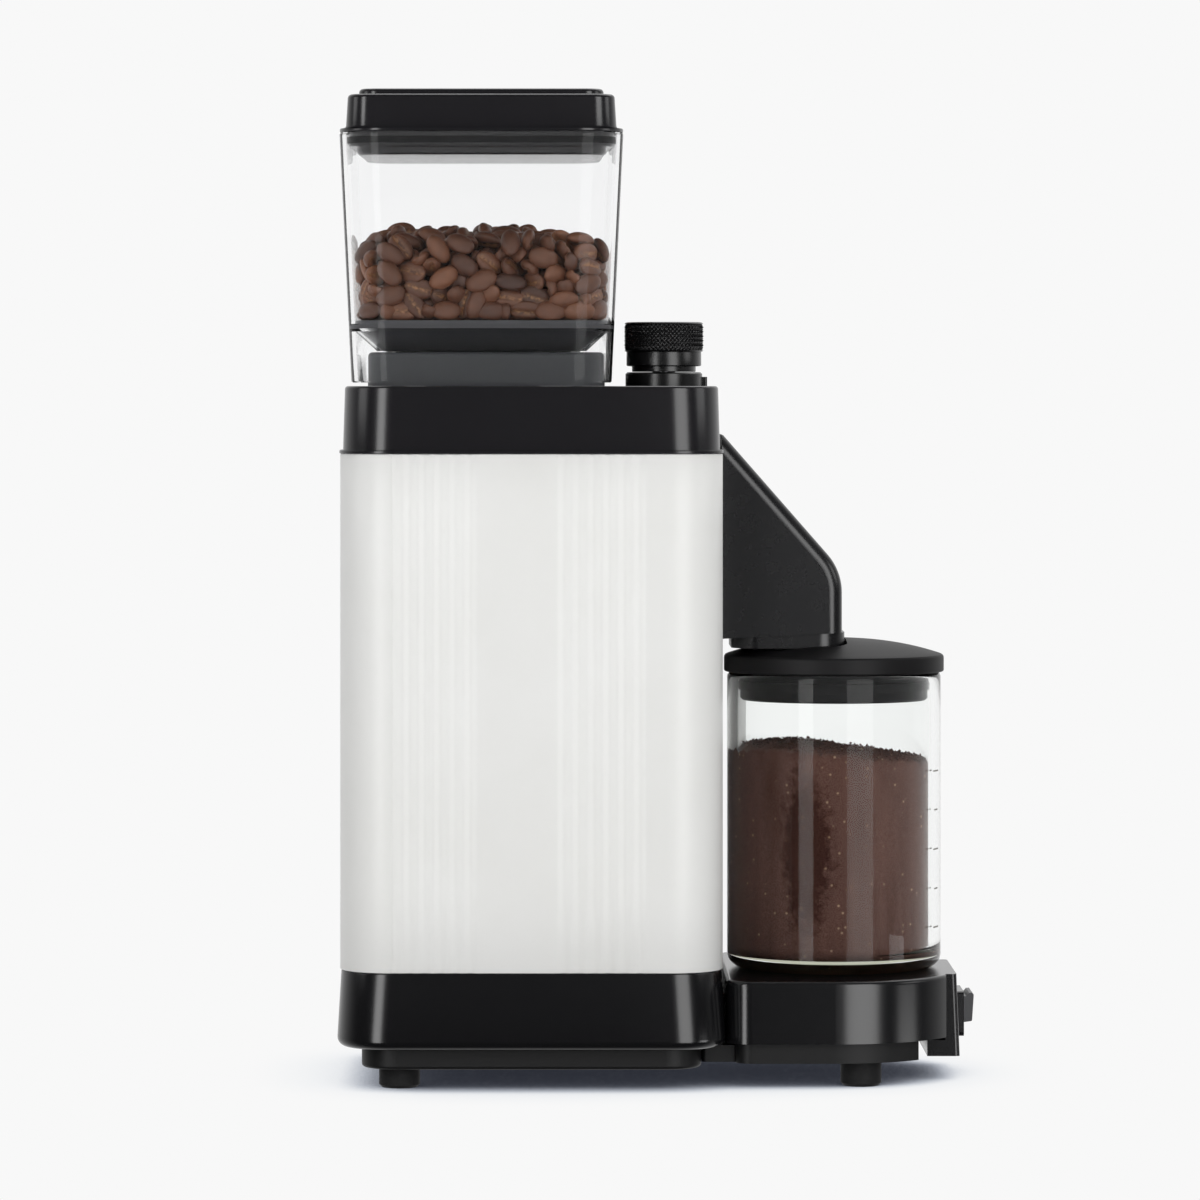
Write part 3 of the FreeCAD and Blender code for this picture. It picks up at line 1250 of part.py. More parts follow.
b = new_body("Fan", mx)
s0 = sketch(b, "fan_disc", offset=156.6)
circle(s0, 0, 0, 26)
pad(b, s0, 1.4)
s1 = sketch(b, "fan_blade", offset=158.0)
poly(s1, [(8, -0.6), (25, 2.4), (25, 3.6), (8, 0.6)])
t = pad(b, s1, 4.4)
polar(b, t, 11)
doc.recompute()
s3 = sketch(b, "fan_hub", offset=158.0)
circle(s3, 0, 0, 7)
pad(b, s3, 3.6)
s2 = sketch(b, "fan_bore", offset=170)
circle(s2, 0, 0, d("motor_shaft_r"))
pocket(b, s2, 20)
node(b, "motor_fan")
node(cyl("MotorShaft", mx, 0, 97.0, d("gear_top") + 0.8,
         d("motor_shaft_r")), "motor_shaft")

# ------------------------------------------------------------ duct and chute
di = d("duct_half") - d("duct_wall")
o = box("duct_out", X(21.0), X(70.0), -d("duct_half"), d("duct_half"),
        d("duct_bot"), d("duct_top"))
i_ = box("duct_in", X(20.0), X(71.0), -di, di, d("duct_bot") + 2.0,
         d("duct_top") - 2.0)
node(cut("GroundsDuct", o, [i_]), "grounds_duct")

b = new_body("ChuteShell", X(0))
s0 = sketch(b, "chute_side", "XZ_Plane")
knee_x, knee_z = d("chute_front"), d("chute_knee_z")
poly(s0, [(d("chute_rear"), d("chute_bot_rear")),
          (d("chute_front"), d("chute_bot_front")), (knee_x, knee_z),
          (66.0, d("chute_top") - 0.3), (d("chute_rear"), d("chute_top"))])
pad(b, s0, 2 * d("chute_half"), mid=True)
round_edges(b, lambda e: e.BoundBox.YLength > 40 and
            abs(e.BoundBox.XMin - 106.8) < .1 and
            abs(e.BoundBox.ZMin - 174.7) < .1, d("chute_round"))


def chute_side_edges(e):
    bb = e.BoundBox
    on_side = abs(abs(bb.YMin) - 24.0) < .01 and bb.YLength < .01
    rear = abs(bb.XMin - 65.4) < .01 and bb.XLength < .01
    low = bb.ZMax < 154
    return on_side and not rear and not low and bb.XMax > 66.2


round_edges(b, chute_side_edges, d("chute_edge"))
s1 = sketch(b, "chute_hollow", "XZ_Plane")
cw = d("chute_wall")
poly(s1, [(d("chute_rear") - 3, 191.0), (d("chute_rear") + 6.6, 191.0),
          (d("chute_rear") + 6.6, 148.0),
          (d("chute_front") - cw - 0.4, 148.0),
          (d("chute_front") - cw - 0.4, 172.0),
          (d("chute_rear") + 2.6, 214.5), (d("chute_rear") - 3, 214.5)])
pocket(b, s1, 2 * (d("chute_half") - 5.0), mid=True)
s2 = sketch(b, "chute_screw_bores", "YZ_Plane", offset=d("chute_rear"))
for y, z in ((-17, 160), (17, 160)):
    circle(s2, y, z, d("screw_r"))
pocket(b, s2, 5.4, rev=True)
node(b, "chute_shell")

for k, sy in enumerate((-17, 17)):
    a = cyl("chute_screw_head%d" % k, 160, sy, X(61.4), X(63.4),
            d("screw_head_r"), "X")
    c = cyl("chute_screw_shank%d" % k, 160, sy, X(63.4), X(70.0),
            d("screw_r"), "X")
    screws.append(fuse("ChuteScrew%d" % k, [a, c]))
node(group("CaseScrews", screws), "case_screws")

b = new_body("SpoutCollar", X(0))
s0 = sketch(b, "spout_outline", offset=d("spout_bot"))
sw = d("spout_front") - d("spout_rear")
scx = (d("spout_front") + d("spout_rear")) / 2
rrect(s0, scx, 0, sw, 2 * d("spout_half"), 9)
pad(b, s0, 8)
s1 = sketch(b, "spout_way", offset=d("spout_bot") + 8)
rrect(s1, scx, 0, sw - 2 * d("spout_wall"),
      2 * (d("spout_half") - d("spout_wall")), 6)
pocket(b, s1, 8)
s2 = sketch(b, "spout_slope", "XZ_Plane")
dz = (d("chute_bot_front") - d("chute_bot_rear")) / \
    (d("chute_front") - d("chute_rear"))
poly(s2, [(d("chute_rear") - 5, d("chute_bot_rear") - 5 * dz - 0.05),
          (d("chute_front") + 5, d("chute_bot_front") + 5 * dz - 0.05),
          (d("chute_front") + 5, 165), (d("chute_rear") - 5, 165)])
pocket(b, s2, 80, mid=True)
node(b, "spout_collar")

# ------------------------------------------------------------------------ jar
jx = X(d("jar_cx"))
jr, jb = d("jar_r"), d("jar_bot")
b = new_body("Jar", jx)
s0 = sketch(b, "jar_outside", "XZ_Plane")
poly(s0, [(0, jb), (jr, jb), (jr, d("jar_top")), (0, d("jar_top"))])
revolve(b, s0)
round_edges(b, at_z(d("jar_bot")), d("jar_round"))
round_edges(b, at_z(d("jar_top")), 1.2)
s1 = sketch(b, "jar_inside", "XZ_Plane")
ji = jr - d("jar_wall")
poly(s1, [(0, jb + d("jar_base")), (ji, jb + d("jar_base")),
          (ji, d("jar_top") + 1), (0, d("jar_top") + 1)])
revolve(b, s1, cutting=True)
round_edges(b, lambda e: at_z(d("jar_bot") + d("jar_base"))(e), 4.0)
node(b, "glass_jar")

b = new_body("Grounds", jx)
s0 = sketch(b, "grounds_profile", "XZ_Plane")
gz0 = jb + d("jar_base") + 0.3
poly(s0, [(0, gz0), (d("grounds_r") - 4.5, gz0), (d("grounds_r"), gz0 + 4.5),
          (d("grounds_r"), d("grounds_top") - 1.5), (0, d("grounds_top"))])
revolve(b, s0)
node(b, "ground_coffee")

b = new_body("JarLid", jx)
s0 = sketch(b, "lid_profile", "XZ_Plane")
lr = d("jlid_r")
poly(s0, [(0, 143.0), (29.6, 143.0), (29.6, d("jplug_bot")),
          (d("jplug_r") - 0.8, d("jplug_bot")),
          (d("jplug_r"), d("jplug_bot") + 0.8),
          (d("jplug_r"), 133.2), (31.4, 133.2), (31.4, 136.2),
          (d("jplug_r"), 136.2), (d("jplug_r"), d("jlid_bot")),
          (lr - 0.6, d("jlid_bot")), (lr, d("jlid_bot") + 0.6),
          (lr, d("jlid_rim") - 1.0), (lr - 1.0, d("jlid_rim")),
          (lr - 7.5, 147.6), (lr - 15.5, 149.4), (lr - 25.0, 150.5),
          (0, d("jlid_top"))])
revolve(b, s0)
s1 = sketch(b, "spout_channel", offset=152.0)
cr = d("spout_front") - d("jar_cx") + 0.8
poly(s1, [(-45, -24.2), (cr, -24.2), (cr, 24.2), (-45, 24.2)])
pocket(b, s1, 152.0 - 147.2)
s2 = sketch(b, "pour_hole", offset=152.0)
rrect(s2, -15.5, 0, 22, 26, 9)
pocket(b, s2, 12)
node(b, "jar_lid")

b = turned("JarSeal", jx, 0, [
    (31.4, 133.3), (33.3, 133.3), (33.45, 134.7), (33.3, 136.1),
    (31.4, 136.1)])
node(b, "jar_lid_seal")

# --------------------------------------------------------------- electronics
b = new_body("ControlBoard", X(-14))
s0 = sketch(b, "board_outline", offset=26.0)
rrect(s0, 0, 0, 70, 56, 3)
pad(b, s0, 1.6)
s1 = sketch(b, "board_holes", offset=27.6)
for sx in (-30, 30):
    for sy in (-23, 23):
        circle(s1, sx, sy, 1.6)
pocket(b, s1, 1.6)
node(b, "control_board")
cp = []
cp.append(cyl("Capacitor", X(-34), 12, 27.6, 48.0, 8.0))
cp.append(box("Transformer", X(-6), X(14), -20, 2, 27.6, 43.0))
cp.append(box("Relay", X(-30), X(-14), -22, -8, 27.6, 41.0))
cp.append(box("Terminal", X(4), X(16), 8, 20, 27.6, 37.0))
node(group("BoardParts", cp), "board_components")

gl = cut("CordGland", fuse("gland_blank", [
    cyl("gland_tube", 27, 30, X(-65.2), X(-58.0), 6.4, "X"),
    cyl("gland_nut", 27, 30, X(-61.3), X(-57.0), 8.5, "X")]),
    [cyl("gland_hole_in", 27, 30, X(-66.0), X(-56.0), 3.4, "X")])
node(gl, "cord_gland")


# wiring: round leads along straight runs joined by tangent arcs
def lead(name, pts, r):
    V = FreeCAD.Vector
    p = [V(*q) for q in pts]
    edges = []
    start = p[0]
    for k in range(1, len(p) - 1):
        a, c = p[k - 1] - p[k], p[k + 1] - p[k]
        la, lc = a.Length, c.Length
        turn = math.pi - a.getAngle(c)
        rad = 0.45 * min(la, lc) / math.tan(turn / 2)
        rad = min(rad, 12.0)
        t = rad * math.tan(turn / 2)
        ua, uc = a.normalize(), c.normalize()
        p0, p1 = p[k] + ua * t, p[k] + uc * t
        bis = (ua + uc).normalize()
        mid = p[k] + bis * (rad / math.cos(turn / 2) - rad)
        edges.append(Part.LineSegment(start, p0).toShape())
        edges.append(Part.Arc(p0, mid, p1).toShape())
        start = p1
    edges.append(Part.LineSegment(start, p[-1]).toShape())
    wire = Part.Wire(edges)
    tang = (p[1] - p[0]).normalize()
    prof = Part.Wire([Part.makeCircle(r, p[0], tang)])
    return wire.makePipeShell([prof], True, False)


bxv = val(d("body_cx"))
w = doc.addObject("Part::Feature", "WiringLoom")
leads = []
# two leads from the board's terminal through the base to the switch
for k, y in enumerate((-6.1, 6.1)):
    leads.append(lead("switch_lead%d" % k, [
        (bxv + 16.2, 14.0 + 2.5 * k, 31.0), (bxv + 40, 14.0 + 2.5 * k, 31.0),
        (bxv + 60, y, 26.0), (bxv + 95, y, 24.0),
        (bxv + 126.1, y, 21.0)], 1.0))
# two leads up to the motor's brush gear
for k, y in enumerate((-13.0, 13.0)):
    leads.append(lead("motor_lead%d" % k, [
        (bxv + 10.0, (1.0 if k else -4.0) + 10 * k, 46.0 - 9 * k + 0.2),
        (bxv + 10.0, (1.0 if k else -4.0) + 10 * k, 62.0),
        (bxv + 18.0, y, 80.0),
        (bxv + 18.0, y, 102.8)], 1.0))
w.Shape = Part.makeCompound(leads)
node(w, "wiring_leads")

# ------------------------------------------------------------- check and write
doc.recompute()
bad = []
for o in doc.Objects:
    if any(k in ("Invalid", "Error") for k in o.State):
        bad.append("%s (%s) %s" % (o.Name, o.Label, o.State))
if bad:
    raise RuntimeError("failed objects: " + "; ".join(bad))
for o in nodes:
    sh = o.Shape
    if sh.isNull() or not sh.isValid() or sh.Volume <= 0:
        raise RuntimeError("bad shape: " + o.Label)
for o in nodes:
    o.Shape.exportStep("parts/%s.step" % o.Label)
print(len(nodes), "sub-parts written")
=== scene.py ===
import bpy, bmesh, json, math
import numpy as np
from mathutils import Vector, Matrix, Euler


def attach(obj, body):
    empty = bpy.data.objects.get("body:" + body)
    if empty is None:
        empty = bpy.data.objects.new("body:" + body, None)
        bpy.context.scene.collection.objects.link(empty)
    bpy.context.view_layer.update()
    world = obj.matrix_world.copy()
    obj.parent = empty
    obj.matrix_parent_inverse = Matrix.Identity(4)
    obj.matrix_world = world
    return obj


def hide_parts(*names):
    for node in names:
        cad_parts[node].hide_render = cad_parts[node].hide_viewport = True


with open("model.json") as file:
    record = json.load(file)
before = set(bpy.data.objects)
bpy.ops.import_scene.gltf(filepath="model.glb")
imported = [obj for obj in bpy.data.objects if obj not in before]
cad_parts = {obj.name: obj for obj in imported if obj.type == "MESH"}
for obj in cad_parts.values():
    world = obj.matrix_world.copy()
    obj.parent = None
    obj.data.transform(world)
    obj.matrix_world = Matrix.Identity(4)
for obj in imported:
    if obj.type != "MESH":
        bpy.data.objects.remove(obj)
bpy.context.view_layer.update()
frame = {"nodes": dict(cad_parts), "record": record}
NODES = frame["nodes"]
scene = bpy.context.scene
scene.view_settings.view_transform = "Standard"
scene.view_settings.look = "None"
S = 0.001
BX = -43.45          # body centre line, mm
HX = BX - 17.2       # hopper axis
KX = BX + 45.8       # knob axis
JX = BX + 104.9      # jar axis


# ------------------------------------------------------------------ materials
def srgb(r, g, b):
    out = []
    for c in (r, g, b):
        c /= 255.0
        out.append(c / 12.92 if c <= 0.04045 else ((c + 0.055) / 1.055) ** 2.4)
    return tuple(out) + (1.0,)


class Mat:
    """A node material with object-space texture coordinates."""

    def __init__(self, name):
        self.m = bpy.data.materials.new(name)
        self.m.use_nodes = True
        self.t = self.m.node_tree
        self.b = self.t.nodes["Principled BSDF"]
        self.c = self.t.nodes.new("ShaderNodeTexCoord")

    def node(self, kind, **kw):
        n = self.t.nodes.new(kind)
        for k, v in kw.items():
            if k in n.inputs:
                n.inputs[k].default_value = v
            else:
                setattr(n, k, v)
        return n

    def link(self, a, b):
        self.t.links.new(a, b)

    def mapped(self, scale=(1, 1, 1)):
        n = self.node("ShaderNodeMapping")
        n.inputs["Scale"].default_value = scale
        self.link(self.c.outputs["Object"], n.inputs["Vector"])
        return n.outputs["Vector"]

    def noise(self, scale, detail=2.0, rough=0.5, stretch=(1, 1, 1)):
        n = self.node("ShaderNodeTexNoise", Scale=scale, Detail=detail,
                      Roughness=rough)
        self.link(self.mapped(stretch), n.inputs["Vector"])
        return n.outputs["Fac"]

    def voronoi(self, scale, feature="F1"):
        n = self.node("ShaderNodeTexVoronoi")
        n.feature = feature
        n.inputs["Scale"].default_value = scale
        self.link(self.mapped(), n.inputs["Vector"])
        return n

    def ramp(self, fac, stops):
        n = self.node("ShaderNodeValToRGB")
        el = n.color_ramp.elements
        while len(el) < len(stops):
            el.new(0.5)
        for e, (p, c) in zip(el, stops):
            e.position = p
            e.color = c if len(c) == 4 else tuple(c) + (1.0,)
        self.link(fac, n.inputs["Fac"])
        return n.outputs["Color"]

    def range(self, fac, lo, hi, a=0.0, b=1.0):
        n = self.node("ShaderNodeMapRange")
        n.inputs["From Min"].default_value = a
        n.inputs["From Max"].default_value = b
        n.inputs["To Min"].default_value = lo
        n.inputs["To Max"].default_value = hi
        self.link(fac, n.inputs["Value"])
        return n.outputs["Result"]

    def math(self, op, a, b=None):
        n = self.node("ShaderNodeMath", operation=op)
        for i, v in enumerate((a, b)):
            if v is None:
                continue
            if isinstance(v, (int, float)):
                n.inputs[i].default_value = v
            else:
                self.link(v, n.inputs[i])
        return n.outputs[0]

    def bump(self, height, strength, distance, before=None):
        n = self.node("ShaderNodeBump")
        n.inputs["Strength"].default_value = strength
        n.inputs["Distance"].default_value = distance
        self.link(height, n.inputs["Height"])
        if before is not None:
            self.link(before, n.inputs["Normal"])
        return n.outputs["Normal"]

    def set(self, **kw):
        names = {"color": "Base Color", "rough": "Roughness",
                 "metal": "Metallic", "spec": "Specular IOR Level",
                 "ior": "IOR", "trans": "Transmission Weight",
                 "coat": "Coat Weight", "coat_rough": "Coat Roughness",
                 "normal": "Normal", "sheen": "Sheen Weight"}
        for k, v in kw.items():
            s = self.b.inputs[names[k]]
            if hasattr(v, "is_output") or isinstance(v, bpy.types.NodeSocket):
                self.link(v, s)
            else:
                s.default_value = v
        return self


def satin_black(name, base=(25, 25, 27), rough=0.21, grain=2600.0, bump=0.05,
                spec=0.55):
    m = Mat(name)
    lo = tuple(c * 0.95 for c in srgb(*base)[:3])
    hi = tuple(min(1, c * 1.05) for c in srgb(*base)[:3])
    m.set(color=m.ramp(m.noise(45, 3), [(0.2, lo), (0.8, hi)]),
          rough=m.range(m.noise(160, 4, 0.6), rough - 0.012, rough + 0.016),
          spec=spec,
          normal=m.bump(m.noise(grain, 2, 0.6), bump, 0.00006))
    return m.m


M_COVER = satin_black("satin_black_cover", (24, 23, 26))
M_BASE = satin_black("satin_black_base", (15, 15, 17), 0.20)
M_CHUTE = satin_black("satin_black_chute", (19, 19, 21), 0.27, bump=0.08)
M_LID = satin_black("satin_black_lid", (26, 25, 28), 0.21)
M_KNOB = satin_black("satin_black_knob", (13, 13, 14), 0.26, bump=0.05)
M_JLID = satin_black("satin_black_jar_lid", (13, 12, 14), 0.50,
                     bump=0.12, spec=0.22)
M_PLATE = satin_black("satin_black_bottom", (13, 13, 14), 0.5, 1800.0, 0.25, 0.3)
M_GREYP = satin_black("dark_grey_plastic", (62, 63, 66), 0.42, 1800.0, 0.16)
M_COLLAR = satin_black("collar_grey_plastic", (58, 60, 64), 0.46)
M_SMOKE = satin_black("floor_grey_plastic", (66, 66, 70), 0.38)
M_ROCKER = satin_black("rocker_grey", (70, 70, 73), 0.38)


def white_paint():
    m = Mat("satin_white_paint")
    m.set(color=m.ramp(m.noise(14, 4, 0.55), [
        (0.3, srgb(233, 233, 230)), (0.7, srgb(238, 238, 236))]),
        rough=m.range(m.noise(220, 3), 0.34, 0.42), spec=0.5,
        normal=m.bump(m.noise(1500, 3, 0.6), 0.06, 0.00005))
    return m.m


M_WHITE = white_paint()


def rubber(name, base=(22, 22, 23)):
    m = Mat(name)
    m.set(color=m.ramp(m.noise(300, 3), [(0.3, srgb(*[c - 4 for c in base])),
                                         (0.7, srgb(*[c + 5 for c in base]))]),
          rough=m.range(m.noise(500, 3), 0.62, 0.8), spec=0.3,
          normal=m.bump(m.noise(1400, 3, 0.7), 0.25, 0.0001))
    return m.m


M_RUBBER = rubber("black_rubber")


def clear(name, tint, ior, rough=0.0, wave=0.0, spec=0.5, mirror=1.0):
    m = Mat(name)
    m.b.inputs["Specular Tint"].default_value = (mirror, mirror, mirror, 1)
    low = tuple(c * 0.985 for c in tint[:3])
    m.set(color=m.ramp(m.noise(6, 2), [(0.3, low), (0.7, tint)]),
          rough=rough, trans=1.0, ior=ior, spec=spec)
    if wave:
        m.set(normal=m.bump(m.noise(18, 2, 0.4), wave, 0.0006))
    return m.m


M_CLEAR = clear("clear_hopper_plastic", (0.988, 0.99, 0.992, 1), 1.20,
                0.0, 0.02, 0.5)
M_GLASS = clear("clear_jar_glass", (0.982, 0.992, 0.986, 1), 1.46, 0.0, 0.03,
                0.05, 0.28)


M_GLASS_BASE = clear("thick_glass_base", (0.30, 0.31, 0.21, 1), 1.46, 0.05,
                     0.03, 0.05)


def metal(name, color, rough, metallic=1.0, stretch=(1, 1, 30), bump=0.1):
    m = Mat(name)
    lo = tuple(c * 0.8 for c in color[:3])
    m.set(color=m.ramp(m.noise(90, 4, 0.6, stretch), [(0.3, lo),
                                                     (0.7, color[:3])]),
          rough=m.range(m.noise(300, 4, 0.6, stretch), rough - 0.08,
                        rough + 0.1), metal=metallic,
          normal=m.bump(m.noise(700, 3, 0.6, stretch), bump, 0.00006))
    return m.m


M_STEEL = metal("machined_steel", (0.55, 0.55, 0.56), 0.3)
M_CAST = metal("cast_aluminium", (0.52, 0.52, 0.53), 0.46, 1.0, (1, 1, 1),
               0.35)
M_BRASS = metal("machined_brass", (0.62, 0.42, 0.16), 0.3)
M_COPPER = metal("copper_segments", (0.72, 0.33, 0.18), 0.34)
M_MAGNET = metal("ferrite", (0.05, 0.05, 0.055), 0.6, 0.2, (1, 1, 1), 0.4)
M_CARBON = metal("carbon_brush", (0.03, 0.03, 0.03), 0.5, 0.1, (1, 1, 1), 0.3)


def nylon(name, base):
    m = Mat(name)
    m.set(color=m.ramp(m.noise(60, 3), [
        (0.3, srgb(*[c * 0.93 for c in base])), (0.7, srgb(*base))]),
        rough=m.range(m.noise(200, 3), 0.4, 0.5), spec=0.45,
        normal=m.bump(m.noise(900, 3), 0.12, 0.0001))
    return m.m


M_NYLON = nylon("natural_nylon", (226, 222, 208))
M_BOARD = nylon("board_laminate", (26, 92, 58))
M_LEAD = nylon("lead_sheath_red", (120, 26, 22))


def bean_material():
    m = Mat("roasted_bean")
    a = m.node("ShaderNodeAttribute")
    a.attribute_name = "tint"
    c = m.node("ShaderNodeAttribute")
    c.attribute_name = "crease"
    skin = m.ramp(a.outputs["Fac"], [
        (0.0, srgb(64, 38, 28)), (0.35, srgb(100, 62, 44)),
        (0.7, srgb(128, 82, 58)), (1.0, srgb(152, 100, 70))])
    mott = m.noise(420, 4, 0.65)
    mix = m.node("ShaderNodeMix", data_type="RGBA")
    mix.blend_type = "MULTIPLY"
    mix.inputs[0].default_value = 0.75
    m.link(skin, mix.inputs[6])
    m.link(m.ramp(mott, [(0.3, (0.62, 0.60, 0.58)), (0.7, (1, 1, 1))]),
           mix.inputs[7])
    mix2 = m.node("ShaderNodeMix", data_type="RGBA")
    m.link(m.math("MULTIPLY", c.outputs["Fac"], 0.85), mix2.inputs[0])
    m.link(mix.outputs[2], mix2.inputs[6])
    m.link(m.ramp(m.noise(900, 3), [(0.35, srgb(66, 38, 26)),
                                    (0.65, srgb(188, 136, 90))]),
           mix2.inputs[7])
    m.set(color=mix2.outputs[2], rough=m.range(m.noise(300, 3), 0.34, 0.5),
          spec=0.5,
          normal=m.bump(m.noise(700, 4, 0.65), 0.35, 0.00018))
    return m.m


def grounds_material():
    m = Mat("ground_coffee_crumb")
    fine = m.noise(2600, 6, 0.8)
    col = m.ramp(fine, [(0.30, srgb(70, 46, 40)), (0.48, srgb(116, 86, 77)),
                        (0.62, srgb(136, 104, 94)), (0.78, srgb(182, 148, 130))])
    v = m.voronoi(420)
    speck = m.ramp(v.outputs["Distance"], [(0.0, (1, 1, 1)),
                                           (0.24, (0, 0, 0))])
    pick = m.ramp(v.outputs["Color"], [(0.70, (0, 0, 0)), (0.74, (1, 1, 1))])
    k = m.math("MULTIPLY", speck, pick)
    mix = m.node("ShaderNodeMix", data_type="RGBA")
    m.link(m.math("MULTIPLY", k, 0.95), mix.inputs[0])
    m.link(col, mix.inputs[6])
    mix.inputs[7].default_value = srgb(226, 190, 152)
    # dust wiped off the glass in upright streaks
    big = m.noise(52, 3, 0.6, (1, 1, 0.16))
    mul = m.node("ShaderNodeMix", data_type="RGBA")
    mul.blend_type = "MULTIPLY"
    mul.inputs[0].default_value = 1.0
    m.link(mix.outputs[2], mul.inputs[6])
    m.link(m.ramp(big, [(0.36, (0.66, 0.58, 0.56)), (0.50, (0.92, 0.90, 0.92)),
                        (0.62, (1.08, 1.05, 1.05))]), mul.inputs[7])
    # one darker patch in the middle of the side
    patch = m.node("ShaderNodeVectorMath", operation="DISTANCE")
    mp = m.node("ShaderNodeMapping")
    mp.inputs["Scale"].default_value = (1.0, 1.0, 0.30)
    m.link(m.c.outputs["Object"], mp.inputs["Vector"])
    m.link(mp.outputs["Vector"], patch.inputs[0])
    patch.inputs[1].default_value = ((JX - 10.5) * 0.001, -0.031,
                                     0.30 * 0.078)
    dd = m.math("ADD", patch.outputs["Value"],
                m.math("MULTIPLY", m.math("SUBTRACT", m.noise(260, 4, 0.7),
                                          0.5), 0.012))
    mul2 = m.node("ShaderNodeMix", data_type="RGBA")
    mul2.blend_type = "MULTIPLY"
    mul2.inputs[0].default_value = 1.0
    m.link(mul.outputs[2], mul2.inputs[6])
    m.link(m.ramp(m.range(dd, 0, 1, 0.0062, 0.0098),
                  [(0.0, (0.40, 0.32, 0.30)), (1.0, (1, 1, 1))]),
           mul2.inputs[7])
    h = m.math("ADD", m.noise(1700, 5, 0.8),
               m.math("MULTIPLY", v.outputs["Distance"], 0.3))
    m.set(color=mul2.outputs[2], rough=0.9, spec=0.12,
          normal=m.bump(h, 0.6, 0.0004))
    return m.m


M_BEAN = bean_material()
M_GROUNDS = grounds_material()


# ------------------------------------------------------------------ mesh work
def make(name, verts, faces, mat, body, replaces=(),
         sharp=35.0, smooth=True):
    """Mesh from millimetre vertices, with edges sharper than an angle kept."""
    me = bpy.data.meshes.new(name)
    me.from_pydata([(x * S, y * S, z * S) for x, y, z in verts], [],
                   [tuple(f) for f in faces])
    me.update()
    ob = bpy.data.objects.new(name, me)
    scene.collection.objects.link(ob)
    bm = bmesh.new()
    bm.from_mesh(me)
    bmesh.ops.remove_doubles(bm, verts=bm.verts, dist=1e-7)
    bmesh.ops.recalc_face_normals(bm, faces=bm.faces)
    lim = math.radians(sharp)
    for e in bm.edges:
        if len(e.link_faces) == 2:
            e.smooth = e.calc_face_angle(0.0) < lim
    for f in bm.faces:
        f.smooth = smooth
    bm.to_mesh(me)
    bm.free()
    me.materials.append(mat)
    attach(ob, body)
    if replaces:
        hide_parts(*replaces)
    return ob


def rr(cx, cy, w, d, r, z, n=14, side=6):
    """Round-cornered rectangle as one loop, the same count for every size."""
    pts = []
    hw, hd = w / 2, d / 2
    for k, (sx, sy) in enumerate(((1, -1), (1, 1), (-1, 1), (-1, -1))):
        ccx, ccy = cx + sx * (hw - r), cy + sy * (hd - r)
        a0 = math.radians(-90 + 90 * k)
        for i in range(n + 1):
            a = a0 + math.pi / 2 * i / n
            pts.append((ccx + r * math.cos(a), ccy + r * math.sin(a), z))
        # points along the straight to the next corner
        nx, ny = ((1, 1), (-1, 1), (-1, -1), (1, -1))[k]
        ncx, ncy = cx + nx * (hw - r), cy + ny * (hd - r)
        a1 = a0 + math.pi / 2
        q = (ncx + r * math.cos(a1), ncy + r * math.sin(a1))
        p = pts[-1]
        for i in range(1, side + 1):
            t = i / (side + 1)
            pts.append((p[0] + (q[0] - p[0]) * t, p[1] + (q[1] - p[1]) * t, z))
    return pts


def skin(loops, close=False, cap0=True, cap1=True):
    """Quads between loops of equal count, with n-gon caps at the ends."""
    n = len(loops[0])
    v = [p for lp in loops for p in lp]
    f = []
    m = len(loops)
    for i in range(m if close else m - 1):
        a, b = i * n, ((i + 1) % m) * n
        for k in range(n):
            k2 = (k + 1) % n
            f.append((a + k, a + k2, b + k2, b + k))
    if not close:
        if cap0:
            f.append(tuple(range(n))[::-1])
        if cap1:
            f.append(tuple(range((m - 1) * n, m * n)))
    return v, f


def fillet_steps(r, n=6):
    """(inset, drop) pairs of a quarter round that ends at full size."""
    return [(r * (1 - math.sin(math.pi / 2 * i / n)),
             r * (1 - math.cos(math.pi / 2 * i / n))) for i in range(n + 1)]


def lathe(profile, cx, cy=0.0, n=128, close=True, mod=None):
    """Turn a closed (radius, height) profile about a vertical axis."""
    loops = []
    for r, z in profile:
        lp = []
        for k in range(n):
            a = 2 * math.pi * k / n
            rr_ = r if mod is None else mod(r, z, a)
            lp.append((cx + rr_ * math.cos(a), cy + rr_ * math.sin(a), z))
        loops.append(lp)
    return skin(loops, close=close)


def arc(cx, cz, r, a0, a1, n):
    return [(cx + r * math.cos(math.radians(a0 + (a1 - a0) * i / n)),
             cz + r * math.sin(math.radians(a0 + (a1 - a0) * i / n)))
            for i in range(n + 1)]


def holed_face(bm, rings):
    """Flat face bounded by the first ring of verts, with the others as holes."""
    edges = []
    for ring in rings:
        for k in range(len(ring)):
            a, b = ring[k], ring[(k + 1) % len(ring)]
            edges.append(bm.edges.get((a, b)) or bm.edges.new((a, b)))
    bmesh.ops.triangle_fill(bm, edges=edges, use_beauty=True)


# ------------------------------------------------------------------ base tub
loops = []
bot, top = 14.4, 40.4


def base_w(z):
    return 132.2 - (z - bot) / (top - bot) * 3.0


for ins, dz in fillet_steps(3.4, 8):
    z = bot + dz
    w = base_w(z) - 2 * ins
    loops.append(rr(BX, 0, w, w, 18 - ins, z, 18, 4))
for ins, dz in fillet_steps(0.6, 3)[::-1]:
    z = top - dz
    w = base_w(z) - 2 * ins
    loops.append(rr(BX, 0, w, w, 18 - ins, z, 18, 4))
loops.append(rr(BX, 0, 123.2, 123.2, 15, top, 18, 4))
loops.append(rr(BX, 0, 123.2, 123.2, 15, 18.4, 18, 4))
v, f = skin(loops)
make("base_shell", v, f, M_BASE, "housing", ["base_housing"])

